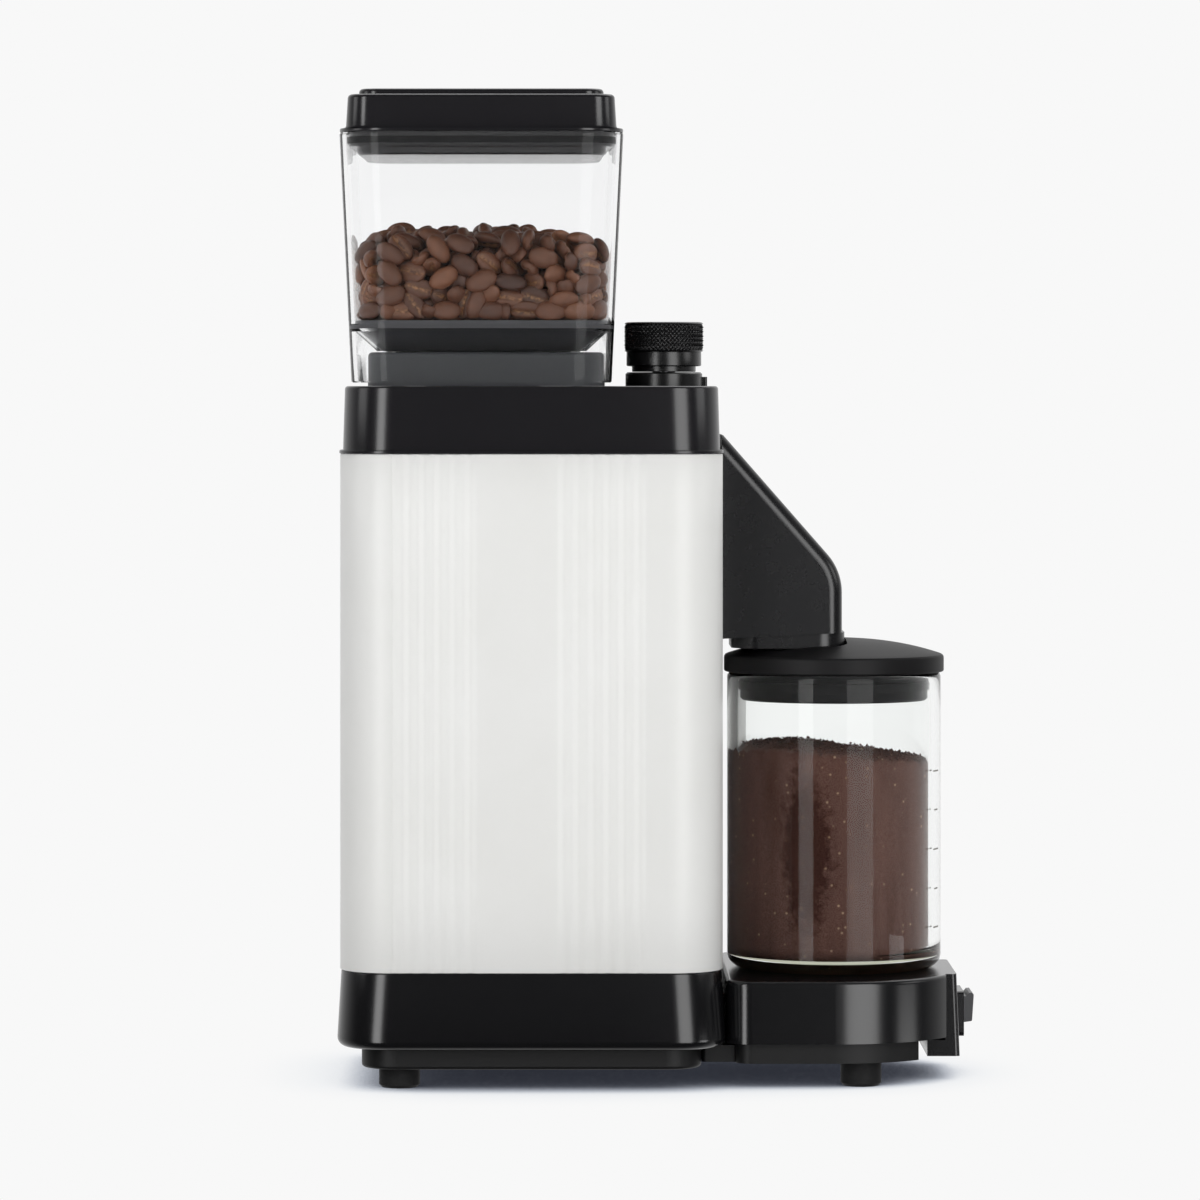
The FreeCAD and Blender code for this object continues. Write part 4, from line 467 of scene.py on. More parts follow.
# ------------------------------------------------------------------ sleeve
FLUTES = [(-48.56, 6, 5.12), (8.44, 6, 5.12)]
DEPTH = 0.56


def flute(xb):
    """Depth of the flutes at a station along the side, in millimetres."""
    for x0, n, p in FLUTES:
        if x0 <= xb <= x0 + n * p:
            return DEPTH * (0.5 - 0.5 * math.cos(2 * math.pi * (xb - x0) / p))
    return 0.0


def sleeve_loop(half, r, z, flutes=True, inner=False):
    pts = []
    q = half - r
    n = 16
    xs = sorted(set([-q, q] + [round(x0 + p * i / 12, 4)
                               for x0, c, p in FLUTES
                               for i in range(c * 12 + 1)] +
                    [x * 1.0 for x in (-14, -9, -4, 1, 5)]))
    xs = [x for x in xs if -q <= x <= q]
    for k in range(4):
        a0 = -90 + 90 * k
        sx, sy = ((1, -1), (1, 1), (-1, 1), (-1, -1))[k]
        ccx, ccy = sx * q, sy * q
        for i in range(n + 1):
            a = math.radians(a0 + 90 * i / n)
            pts.append((BX + ccx + r * math.cos(a), ccy + r * math.sin(a), z))
        if k == 1:          # +Y side, running towards -X
            for x in xs[1:-1][::-1]:
                pts.append((BX + x, half - (flute(x) if flutes else 0), z))
        elif k == 3:        # -Y side, running towards +X
            for x in xs[1:-1]:
                pts.append((BX + x, -half + (flute(x) if flutes else 0), z))
        else:
            for i in range(1, 9):
                t = -q + 2 * q * i / 9
                if k == 0:
                    pts.append((BX + half, t, z))
                else:
                    pts.append((BX - half, -t, z))
    return pts


loops = [sleeve_loop(63.6, 16.6, 40.45, False),
         sleeve_loop(64.75, 17.75, 40.45), sleeve_loop(65.0, 18.0, 40.75)]
loops += [sleeve_loop(65.0, 18.0, z) for z in (70, 100, 130, 160, 190)]
loops += [sleeve_loop(65.0, 18.0, 215.1), sleeve_loop(64.75, 17.75, 215.35),
          sleeve_loop(63.6, 16.6, 215.35, False)]
v, f = skin(loops, close=True)
make("fluted_sleeve", v, f, M_WHITE, "housing", ["body_sleeve"],
     50)


# ------------------------------------------------------------------ top cover
def cover_w(z):
    return 128.2 - (z - 215.4) / (238.3 - 215.4) * 1.4


def cover_mesh():
    lp = [rr(BX, 0, 121.8, 121.8, 14.4, 215.42, 18, 4)]
    for w, z in ((130.2, 215.42), (130.6, 215.6), (130.6, 216.35),
                 (130.2, 216.6)):
        lp.append(rr(BX, 0, w, w, 18 - (130.6 - w) / 2, z, 18, 4))
    lp.append(rr(BX, 0, cover_w(216.7), cover_w(216.7), 17.1, 216.65, 18, 4))
    for ins, dz in fillet_steps(1.0, 5)[::-1]:
        z = 238.3 - dz
        w = cover_w(z) - 2 * ins
        lp.append(rr(BX, 0, w, w, 17.1 - ins, z, 18, 4))
    n = len(lp[0])
    v, f = skin(lp, cap0=False, cap1=False)
    base = len(v)
    inner = [rr(BX, 0, 121.8, 121.8, 14.4, 235.8, 18, 4)]
    v += inner[0]
    for k in range(n):
        k2 = (k + 1) % n
        f.append((k2, k, base + k, base + k2))
    holes = []
    for cx, r, m in ((HX, 24.0, 96), (KX, 4.3, 32)):
        for z in (238.3, 235.8):
            s = len(v)
            v += [(cx + r * math.cos(2 * math.pi * k / m),
                   r * math.sin(2 * math.pi * k / m), z) for k in range(m)]
            holes.append((s, m))
        a, b = holes[-2][0], holes[-1][0]
        for k in range(m):
            k2 = (k + 1) % m
            f.append((a + k, a + k2, b + k2, b + k))
    me = bpy.data.meshes.new("cover_shell")
    me.from_pydata([(x * S, y * S, z * S) for x, y, z in v], [], f)
    bm = bmesh.new()
    bm.from_mesh(me)
    bm.verts.ensure_lookup_table()
    last = (len(lp) - 1) * n
    outer_top = [bm.verts[last + k] for k in range(n)]
    inner_top = [bm.verts[base + k] for k in range(n)]
    rings_top = [outer_top] + [[bm.verts[holes[i][0] + k]
                                for k in range(holes[i][1])] for i in (0, 2)]
    rings_low = [inner_top] + [[bm.verts[holes[i][0] + k]
                                for k in range(holes[i][1])] for i in (1, 3)]
    holed_face(bm, rings_top)
    holed_face(bm, rings_low)
    bmesh.ops.recalc_face_normals(bm, faces=bm.faces)
    for e in bm.edges:
        if len(e.link_faces) == 2:
            e.smooth = e.calc_face_angle(0.0) < math.radians(35)
    for fc in bm.faces:
        fc.smooth = True
    bm.to_mesh(me)
    bm.free()
    me.materials.append(M_COVER)
    ob = bpy.data.objects.new("cover_shell", me)
    scene.collection.objects.link(ob)
    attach(ob, "housing")
    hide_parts("top_cover")
    return ob


cover_mesh()

# ------------------------------------------------------------------ collar
cc = BX - 15.6


def ring_top(name, cx, w, r, hole_x, hole_r, z0, z1, edge, mat, body, node):
    """Round-cornered block with a round bore."""
    lp = [rr(cx, 0, w, w, r, z0, 16, 4)]
    for ins, dz in fillet_steps(edge, 5)[::-1]:
        lp.append(rr(cx, 0, w - 2 * ins, w - 2 * ins, r - ins, z1 - dz, 16, 4))
    n, m = len(lp[0]), 96
    v, f = skin(lp, cap0=False, cap1=False)
    hs = []
    for z in (z0, z1):
        hs.append(len(v))
        v += [(hole_x + hole_r * math.cos(2 * math.pi * k / m),
               hole_r * math.sin(2 * math.pi * k / m), z) for k in range(m)]
    for k in range(m):
        k2 = (k + 1) % m
        f.append((hs[0] + k, hs[0] + k2, hs[1] + k2, hs[1] + k))
    me = bpy.data.meshes.new(name)
    me.from_pydata([(x * S, y * S, z * S) for x, y, z in v], [], f)
    bm = bmesh.new()
    bm.from_mesh(me)
    bm.verts.ensure_lookup_table()
    last = (len(lp) - 1) * n
    holed_face(bm, [[bm.verts[k] for k in range(n)],
                    [bm.verts[hs[0] + k] for k in range(m)]])
    holed_face(bm, [[bm.verts[last + k] for k in range(n)],
                    [bm.verts[hs[1] + k] for k in range(m)]])
    bmesh.ops.recalc_face_normals(bm, faces=bm.faces)
    for e in bm.edges:
        if len(e.link_faces) == 2:
            e.smooth = e.calc_face_angle(0.0) < math.radians(35)
    for fc in bm.faces:
        fc.smooth = True
    bm.to_mesh(me)
    bm.free()
    me.materials.append(mat)
    ob = bpy.data.objects.new(name, me)
    scene.collection.objects.link(ob)
    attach(ob, body)
    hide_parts(node)
    return ob


ring_top("collar_ring", cc, 81.3, 14, HX, 24.0, 238.32, 249.9, 1.4, M_COLLAR,
         "housing", "hopper_collar")


# ------------------------------------------------------------------ hopper
def hop_w(z):
    return 89.2 + (z - 239.5) / 85.5 * 8.0


def hop_r(z):
    return 15.0 + (z - 239.5) / 85.5


lp = []
zs = [239.9, 250, 258, 270, 290, 310, 320, 324.4]
lp.append(rr(HX, 0, hop_w(239.5) - 0.8, hop_w(239.5) - 0.8, 14.6, 239.5, 18, 5))
for z in zs:
    lp.append(rr(HX, 0, hop_w(z), hop_w(z), hop_r(z), z, 18, 5))
lp.append(rr(HX, 0, hop_w(325) - 0.9, hop_w(325) - 0.9, hop_r(325) - 0.45,
             325.0, 18, 5))
lp.append(rr(HX, 0, hop_w(325) - 3.1, hop_w(325) - 3.1, hop_r(325) - 1.55,
             325.0, 18, 5))
for z in zs[::-1]:
    if z == 258:
        # sloping shelf moulded into the wall
        w = hop_w(259.6) - 4
        lp.append(rr(HX, 0, w, w, hop_r(259.6) - 2, 259.6, 18, 5))
        lp.append(rr(HX, 0, 84.4, 84.4, 11.5, 257.9, 18, 5))
        lp.append(rr(HX, 0, 68.4, 68.4, 8.5, 250.3, 18, 5))
        lp.append(rr(HX, 0, 72, 72, 10, 250.3, 18, 5))
        w = hop_w(257.0) - 4
        lp.append(rr(HX, 0, w, w, hop_r(257.0) - 2, 257.0, 18, 5))
        continue
    lp.append(rr(HX, 0, hop_w(z) - 4, hop_w(z) - 4, hop_r(z) - 2, z, 18, 5))
lp.append(rr(HX, 0, hop_w(239.5) - 3.6, hop_w(239.5) - 3.6, 13.2, 239.5, 18, 5))
v, f = skin(lp, close=True)
make("hopper_shell", v, f, M_CLEAR, "hopper", ["hopper"], 28)


# ------------------------------------------------------------------ hopper lid
def tower(name, secs, mat, body, node, cx=HX, n=16,
          sharp=35):
    lp = [rr(cx, 0, w, w, r, z, n, 4) for w, r, z in secs]
    v, f = skin(lp)
    return make(name, v, f, mat, body, node, sharp)


secs = [(84.0, 10, 335.0), (84.0, 10, 325.1), (96.6, 15.8, 325.1),
        (97.0, 16.0, 325.35), (97.0, 16.0, 326.0), (96.6, 15.8, 326.3),
        (92.9, 7.9, 326.35), (92.3, 7.6, 327.0)]
for ins, dz in fillet_steps(1.3, 6)[::-1]:
    z = 337.8 - dz
    w = 91.0 + (337.8 - z) / 10.5 * 1.2 - 2 * ins
    secs.append((w, 7.3 - ins, z))
secs += [(84.2, 6.8, 337.8), (83.6, 6.5, 338.0)]
for ins, dz in fillet_steps(1.3, 6)[::-1]:
    secs.append((83.6 - 2 * ins, 6.5 - ins, 339.8 - dz))
tower("hopper_lid_cap", secs, M_LID, "hopper_lid", ["hopper_lid"])
secs = [(80, 10, 318.9), (80, 10, 325.05), (90.6, 12.8, 325.05),
        (91.0, 13.0, 324.8), (91.0, 13.0, 323.5), (88.6, 11.8, 323.5),
        (88.6, 11.8, 321.1), (91.0, 13.0, 321.1), (91.0, 13.0, 320.5),
        (90.4, 12.7, 320.1), (86.2, 12.6, 320.1), (85.6, 12.5, 319.8)]
for ins, dz in fillet_steps(1.5, 6):
    pass
for ins, dz in fillet_steps(1.5, 6)[::-1]:
    secs.append((85.6 - 2 * ins, 12.5 - ins, 317.2 + dz))
tower("hopper_lid_plug", secs, M_LID, "hopper_lid", ["lid_plug"])

# ------------------------------------------------------------------ knob
N_KNURL = 58


def tri(x):
    x = x - math.floor(x)
    return 1 - abs(2 * x - 1)


def knurl(r, z, a):
    if 250.75 < z < 259.75 and r > 13:
        t = a / (2 * math.pi) * N_KNURL
        k = (z - 250.2) / 1.55
        h = min(tri(t + k), tri(t - k))
        edge = min(1.0, (z - 250.75) / 0.5, (259.75 - z) / 0.5)
        return r - 0.60 + 0.80 * h * edge
    return r


prof = [(4.0, 256.5), (4.0, 243.25), (10.9, 243.25), (11.1, 243.45),
        (11.1, 245.1), (12.7, 245.25), (13.0, 245.5), (13.0, 249.9),
        (12.9, 250.15), (13.2, 250.2), (13.6, 250.45), (13.7, 250.7)]
prof += [(13.7, 250.8 + 8.9 * i / 52) for i in range(53)]
prof += [(13.7, 259.8), (13.55, 260.1), (13.2, 260.38), (12.7, 260.5),
         (11.6, 260.5), (11.2, 260.3), (6, 260.2), (0.02, 260.18),
         (0.02, 256.5)]
v, f = lathe(prof, KX, 0, N_KNURL * 7, True, knurl)
make("knurled_knob", v, f, M_KNOB, "knob", ["grind_knob"], sharp=40)


# ------------------------------------------------------------------ beans
def settle_beans():
    """Rods of three spheres dropped into the hopper and relaxed."""
    rng = np.random.default_rng(7)
    n = 1020
    H0 = 260.9
    c = np.empty((n, 3))
    c[:, 0] = HX + rng.uniform(-38, 38, n)
    c[:, 1] = rng.uniform(-38, 38, n)
    c[:, 2] = H0 + 4 + rng.uniform(0, 62, n)
    dr = rng.normal(size=(n, 3)) * np.array([1, 1, 0.55])
    dr /= np.linalg.norm(dr, axis=1)[:, None]
    L, re, rm = 2.75, 2.75, 3.25
    rad = np.concatenate([np.full(n, re), np.full(n, rm), np.full(n, re)])
    own = np.concatenate([np.arange(n)] * 3)
    for it in range(230):
        P = np.concatenate([c - dr * L, c, c + dr * L])
        P[:, 2] -= 0.22 if it < 190 else 0.05
        # pairs found on a grid of cells
        cell = np.floor((P - P.min(0)) / 6.6).astype(int)
        key = cell[:, 0] * 10000 + cell[:, 1] * 100 + cell[:, 2]
        order = np.argsort(key, kind="stable")
        sk = key[order]
        I, J = [], []
        for dx in (-1, 0, 1):
            for dy in (-1, 0, 1):
                for dz in (-1, 0, 1):
                    k2 = key + dx * 10000 + dy * 100 + dz
                    lo = np.searchsorted(sk, k2, "left")
                    hi = np.searchsorted(sk, k2, "right")
                    cnt = hi - lo
                    i = np.repeat(np.arange(len(P)), cnt)
                    st = np.repeat(lo, cnt)
                    within = np.arange(cnt.sum()) - np.repeat(
                        np.cumsum(cnt) - cnt, cnt)
                    j = order[st + within]
                    ok = (i < j) & (own[i] != own[j])
                    I.append(i[ok])
                    J.append(j[ok])
        I, J = np.concatenate(I), np.concatenate(J)
        d = P[J] - P[I]
        dist = np.linalg.norm(d, axis=1) + 1e-9
        over = rad[I] + rad[J] - dist
        hit = over > 0
        I, J, d, dist, over = I[hit], J[hit], d[hit], dist[hit], over[hit]
        push = d / dist[:, None] * (over * 0.5)[:, None]
        move = np.zeros_like(P)
        count = np.zeros(len(P))
        np.add.at(move, I, -push)
        np.add.at(move, J, push)
        np.add.at(count, I, 1)
        np.add.at(count, J, 1)
        P += move / np.maximum(1.0, count[:, None] * 0.55)
        half = 43.3 + (P[:, 2] - 260.7) * 0.0468 - rad - 0.15
        P[:, 0] = np.clip(P[:, 0], HX - half, HX + half)
        P[:, 1] = np.clip(P[:, 1], -half, half)
        # round corners of the hopper
        q = 43.3 - 13.5
        ex = np.abs(P[:, 0] - HX) - q
        ey = np.abs(P[:, 1]) - q
        rc = 13.5 - rad - 0.15
        cr = (ex > 0) & (ey > 0)
        ll = np.sqrt(np.maximum(ex, 0) ** 2 + np.maximum(ey, 0) ** 2)
        out = cr & (ll > rc)
        sc = np.where(out, rc / np.maximum(ll, 1e-6), 1.0)
        P[:, 0] = np.where(out, HX + np.sign(P[:, 0] - HX) * (q + ex * sc),
                           P[:, 0])
        P[:, 1] = np.where(out, np.sign(P[:, 1]) * (q + ey * sc), P[:, 1])
        P[:, 2] = np.maximum(P[:, 2], H0 + rad)
        a, b, e = P[:n], P[n:2 * n], P[2 * n:]
        c = (a + b + e) / 3
        dr = e - a
        dr /= np.linalg.norm(dr, axis=1)[:, None] + 1e-9
    return c, dr, rng


def bean_template(nu=18, nv=11):
    """Half-flattened ellipsoid with an S-shaped crease on its flat side."""
    V, crease, F = [], [], []
    a, b, c = 5.45, 3.65, 2.85
    for j in range(nv + 1):
        t = math.pi * j / nv
        for i in range(nu):
            u = 2 * math.pi * i / nu
            x = -a * math.cos(t)
            s = math.sin(t) ** 0.92 if 0 < j < nv else 0.0
            y = b * s * math.cos(u)
            z = c * s * math.sin(u)
            k = 0.0
            if z < 0:
                z *= 0.62
                yc = 0.28 * math.sin(x * 0.62)
                k = math.exp(-((y - yc) / 0.62) ** 2) * s
                z += 1.05 * k
            V.append((x, y, z + 0.35))
            crease.append(min(1.0, k * 1.1))
    for j in range(nv):
        for i in range(nu):
            i2 = (i + 1) % nu
            F.append((j * nu + i, j * nu + i2, (j + 1) * nu + i2,
                      (j + 1) * nu + i))
    return np.array(V), np.array(crease), np.array(F)


def heap_top(x):
    """Height of the heap along the side view."""
    xb = np.array([-62.0, -55, -49, -37.5, -18, 3, 24, 30])
    hz = np.array([290.5, 292.5, 296.5, 299.5, 297.0, 294.4, 290.0, 287.5])
    return np.interp(x - BX, xb, hz)


def bean_heap():
    c, dr, rng = settle_beans()
    # finer rows along the flat side so that the crease reads
    T, cre, F = bean_template(24, 12)
    vs, fs, tint, cr = [], [], [], []
    off = 0
    for k in range(len(c)):
        x, y, z = c[k]
        lim = heap_top(x) - 3.0 - 1.2 * max(0.0, (abs(y) - 25) / 18)
        tone = rng.normal(0.5, 0.2)
        roll = rng.uniform(0, 2 * math.pi)
        scale = rng.uniform(0.92, 1.06, 3)
        if z > lim:
            continue
        inside = (abs(x - HX) < 27 and abs(y) < 27 and z < lim - 13)
        if inside:
            continue
        ax = Vector(dr[k])
        up = Vector((0, 0, 1)) if abs(ax.z) < 0.9 else Vector((1, 0, 0))
        side = ax.cross(up).normalized()
        up = side.cross(ax).normalized()
        # beans by a wall turn a broad side to it
        near = max(abs(x - HX) / 43.0, abs(y) / 43.0)
        if near > 0.85:
            wall = Vector((1 if x > HX else -1, 0, 0)) \
                if abs(x - HX) > abs(y) else Vector((0, 1 if y > 0 else -1, 0))
            w = wall - ax * wall.dot(ax)
            if w.length > 0.3:
                up = w.normalized()
                side = up.cross(ax).normalized()
                roll = rng.normal(0, 0.35) + (
                    math.pi if rng.uniform() < 0.42 else 0.0)
        R = np.array([ax, side, up]).T
        cs, sn = math.cos(roll), math.sin(roll)
        Q = np.array([[1, 0, 0], [0, cs, -sn], [0, sn, cs]])
        P = (T * scale) @ (R @ Q).T + c[k]
        half = 43.25 + (P[:, 2] - 260.7) * 0.0468
        P[:, 0] = np.clip(P[:, 0], HX - half, HX + half)
        P[:, 1] = np.clip(P[:, 1], -half, half)
        P[:, 2] = np.maximum(P[:, 2], 260.8)
        vs.append(P)
        fs.append(F + off)
        tint += [min(1, max(0, tone))] * len(T)
        cr += list(cre)
        off += len(T)
    V = np.concatenate(vs)
    Fa = np.concatenate(fs)
    me = bpy.data.meshes.new("bean_heap")
    me.from_pydata((V * S).tolist(), [], Fa.tolist())
    for nm, data in (("tint", tint), ("crease", cr)):
        at = me.attributes.new(nm, "FLOAT", "POINT")
        at.data.foreach_set("value", np.array(data, np.float32))
    bm = bmesh.new()
    bm.from_mesh(me)
    bmesh.ops.remove_doubles(bm, verts=bm.verts, dist=1e-8)
    bmesh.ops.recalc_face_normals(bm, faces=bm.faces)
    for fc in bm.faces:
        fc.smooth = True
    bm.to_mesh(me)
    bm.free()
    me.materials.append(M_BEAN)
    ob = bpy.data.objects.new("bean_heap", me)
    scene.collection.objects.link(ob)
    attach(ob, "hopper")
    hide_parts("coffee_beans")
    print("beans", len(vs), "faces", len(me.polygons))
    return ob


bean_heap()

# ------------------------------------------------------------------ jar
R, Ri = 37.1, 33.5
prof = [(0.02, 36.9), (24, 36.9), (26, 36.7), (R - 5.0, 36.7)]
prof += arc(R - 5.0, 41.7, 5.0, -90, 0, 8)[1:]
prof += [(R, z) for z in (60, 80, 100, 120, 136)]
prof += arc(R - 1.6, 137.5, 1.6, 0, 90, 5)
prof += arc(Ri + 1.3, 137.8, 1.3, 90, 180, 5)
prof += [(Ri, z) for z in (125, 110, 90, 70, 50)]
prof += arc(Ri - 4.2, 45.6, 4.2, 0, -90, 7)
prof += [(20, 41.2), (0.02, 41.0)]
v, f = lathe(prof, JX, 0, 160, False)
jar = make("jar_glass", v, f, M_GLASS, "jar", ["glass_jar"], 40)
jar.data.materials.append(M_GLASS_BASE)
for pg in jar.data.polygons:
    zc = pg.center.z / S
    rc = math.hypot(pg.center.x / S - JX, pg.center.y / S)
    if zc < 40.4 and (rc > 30 or zc < 37.5):
        pg.material_index = 1


def noise3(x, y, z, seed):
    """Smooth repeatable value noise."""
    def h(i, j, k):
        n = (i * 73856093) ^ (j * 19349663) ^ (k * 83492791) ^ seed
        n = (n ^ (n >> 13)) * 1274126177 & 0xffffffff
        return ((n ^ (n >> 16)) & 0xffff) / 65535.0
    i, j, k = math.floor(x), math.floor(y), math.floor(z)
    u, v_, w = x - i, y - j, z - k
    u, v_, w = (t * t * (3 - 2 * t) for t in (u, v_, w))
    out = 0.0
    for a in (0, 1):
        for b in (0, 1):
            for c in (0, 1):
                out += h(i + a, j + b, k + c) * (u if a else 1 - u) * \
                    (v_ if b else 1 - v_) * (w if c else 1 - w)
    return out


def grounds_mesh():
    n = 300

    def rad(a):
        """Grounds touch the glass except on the side facing +X."""
        t = min(1.0, max(0.0, (math.cos(a) - 0.10) / 0.35))
        return 33.54 - 0.8 * t * t * (3 - 2 * t)

    def top_z(x, y):
        xb = x - BX
        z = np.interp(xb, [68, 76, 92, 104, 118, 134, 140],
                      [113.0, 113.6, 113.6, 112.4, 110.6, 108.9, 108.4])
        z += 0.9 * (noise3(x * 0.12, y * 0.12, 3, 11) - 0.5)
        z += 1.5 * (noise3(x * 0.9, y * 0.9, 5, 12) - 0.5)
        z += 1.3 * (noise3(x * 2.1, y * 2.1, 7, 13) - 0.5)
        return float(z)
    loops = []
    prof = [(0.05, 40.95), (20, 41.12), (29.2, 41.28)]
    prof += arc(33.5 - 4.2, 45.56, 4.24, -82, 0, 8)
    for r, z in prof:
        lp = []
        for k in range(n):
            a = 2 * math.pi * k / n
            q = min(r, rad(a))
            lp.append((JX + q * math.cos(a), q * math.sin(a), z))
        loops.append(lp)
    for i in range(1, 15):
        lp = []
        for k in range(n):
            a = 2 * math.pi * k / n
            Rg = rad(a)
            x, y = JX + Rg * math.cos(a), Rg * math.sin(a)
            zt = top_z(x, y) - 1.0
            z = 46 + (zt - 46) * i / 14
            d = 0.10 * (noise3(a * 40, z * 0.8, 1, 21) - 0.5)
            d = min(d, 0.0)
            lp.append((JX + (Rg + d) * math.cos(a),
                       (Rg + d) * math.sin(a), z))
        loops.append(lp)
    for r in [32.3, 31.4] + [31.4 * (1 - i / 46) for i in range(1, 46)]:
        lp = []
        for k in range(n):
            a = 2 * math.pi * k / n
            x, y = JX + r * math.cos(a), r * math.sin(a)
            lp.append((x, y, top_z(x, y) - (0.35 if r > 32 else 0)))
        loops.append(lp)
    v, f = skin(loops)
    # loose crumbs lying on the top
    rng = np.random.default_rng(77)
    v, f = [tuple(p) for p in v], [tuple(q) for q in f]
    octa = np.array([(1, 0, 0), (0, 1, 0), (-1, 0, 0), (0, -1, 0),
                     (0, 0, 1), (0, 0, -1)], float)
    tri = [(0, 1, 4), (1, 2, 4), (2, 3, 4), (3, 0, 4),
           (1, 0, 5), (2, 1, 5), (3, 2, 5), (0, 3, 5)]
    sc = 1.0 if max(abs(p[2]) for p in v[:50]) > 1 else S
    for _ in range(5200):
        q, a = 31.9 * math.sqrt(rng.random()), rng.random() * 2 * math.pi
        x, y = JX + q * math.cos(a), q * math.sin(a)
        size = rng.uniform(0.22, 0.62)
        pts = octa * size * rng.uniform(0.6, 1.2, (6, 3))
        pts = pts + np.array([x, y, top_z(x, y) + rng.uniform(0, 0.45)])
        n0 = len(v)
        v += [tuple(p * sc) for p in pts]
        f += [tuple(n0 + i for i in t) for t in tri]
    make("grounds_fill", v, f, M_GROUNDS, "jar", ["ground_coffee"],
         180)


grounds_mesh()


# ------------------------------------------------------------------ jar lid
def jar_lid_mesh():
    """Domed lid: outer skin of the dome, cut by the spout's channel."""
    prof = [(0.02, 142.9), (29.6, 142.9), (29.6, 129.9), (29.9, 129.5),
            (31.9, 129.5), (32.6, 130.2), (32.6, 133.2), (31.4, 133.2),
            (31.4, 136.2), (32.6, 136.2), (32.6, 139.2), (37.5, 139.2),
            (38.0, 139.4), (38.2, 139.8), (38.2, 144.0), (38.1, 144.6),
            (37.7, 145.15), (37.0, 145.5)]
    dome = []
    for i in range(0, 25):
        t = i / 24
        r = 37.0 * (1 - t)
        z = 145.5 + 5.3 * (1 - (r / 37.0) ** 2.3) * 1.0
        dome.append((max(r, 0.02), z))
    prof += dome[1:]
    v, f = lathe(prof, JX, 0, 144, False)
    ob = make("jar_lid_dome", v, f, M_JLID, "jar", ["jar_lid"], sharp=32)
    # channel for the spout, open to the rear, and the pour hole
    bm = bmesh.new()
    xr, xf, hy, z0 = JX - 50, BX + 107.9 + 0.8, 24.2, 147.2
    rc = 6.0

    def prism(bm_, pts, za, zb):
        lo = [bm_.verts.new((x * S, y * S, za * S)) for x, y in pts]
        hi = [bm_.verts.new((x * S, y * S, zb * S)) for x, y in pts]
        bm_.faces.new(lo[::-1])
        bm_.faces.new(hi)
        m = len(pts)
        for k in range(m):
            k2 = (k + 1) % m
            bm_.faces.new((lo[k], lo[k2], hi[k2], hi[k]))
    pts = [(xr, -hy)] + [(p[0], p[1]) for p in arc(xf - rc, -hy + rc, rc,
                                                   -90, 0, 8)]
    pts += [(p[0], p[1]) for p in arc(xf - rc, hy - rc, rc, 0, 90, 8)]
    pts += [(xr, hy)]
    prism(bm, pts, z0, 156)
    hole = [(p[0], p[1]) for p in rr(JX - 15.5, 0, 22, 26, 9, 0, 8, 0)]
    prism(bm, hole, 140.5, 156)
    me = bpy.data.meshes.new("channel_cutter")
    bm.to_mesh(me)
    bm.free()
    cutter = bpy.data.objects.new("channel_cutter", me)
    scene.collection.objects.link(cutter)
    md = ob.modifiers.new("channel", "BOOLEAN")
    md.operation = "DIFFERENCE"
    md.solver = "EXACT"
    md.use_self = True
    md.object = cutter
    bpy.context.view_layer.update()
    dg = bpy.context.evaluated_depsgraph_get()
    new = bpy.data.meshes.new_from_object(ob.evaluated_get(dg))
    ob.modifiers.clear()
    ob.data = new
    bpy.data.objects.remove(cutter)
    bm = bmesh.new()
    bm.from_mesh(new)
    bmesh.ops.dissolve_degenerate(bm, dist=1e-7, edges=bm.edges)
    for e in bm.edges:
        if len(e.link_faces) == 2:
            e.smooth = e.calc_face_angle(0.0) < math.radians(24)
    for fc in bm.faces:
        fc.smooth = True
    bm.to_mesh(new)
    bm.free()
    return ob


jar_lid_mesh()


# jar tick marks: short printed bars on the glass
def ticks():
    v, f = [], []
    for i, z in enumerate((105.4, 92.0, 78.4, 64.8, 51.5)):
        w = 5.2 if i % 2 == 0 else 3.4
        a0 = math.radians(-21)
        half = w / 2 / 37.15
        s = len(v)
        for k in range(7):
            a = a0 - half + 2 * half * k / 6
            for r in (37.12, 37.22):
                for dz in (-0.25, 0.25):
                    v.append((JX + r * math.cos(a), r * math.sin(a), z + dz))
        for k in range(6):
            a, b = s + 4 * k, s + 4 * k + 4
            f += [(a, a + 1, b + 1, b), (a + 2, b + 2, b + 3, a + 3),
                  (a, b, b + 2, a + 2), (a + 1, a + 3, b + 3, b + 1)]
        f += [(s, s + 2, s + 3, s + 1)]
        e = s + 24
        f += [(e, e + 1, e + 3, e + 2)]
    make("jar_tick_marks", v, f, M_TICK, "jar", (), 30)


m = Mat("printed_mark")
m.set(color=m.ramp(m.noise(800, 2), [(0.3, srgb(120, 118, 112)),
                                     (0.7, srgb(150, 148, 140))]),
      rough=0.5, spec=0.3)
M_TICK = m.m
ticks()

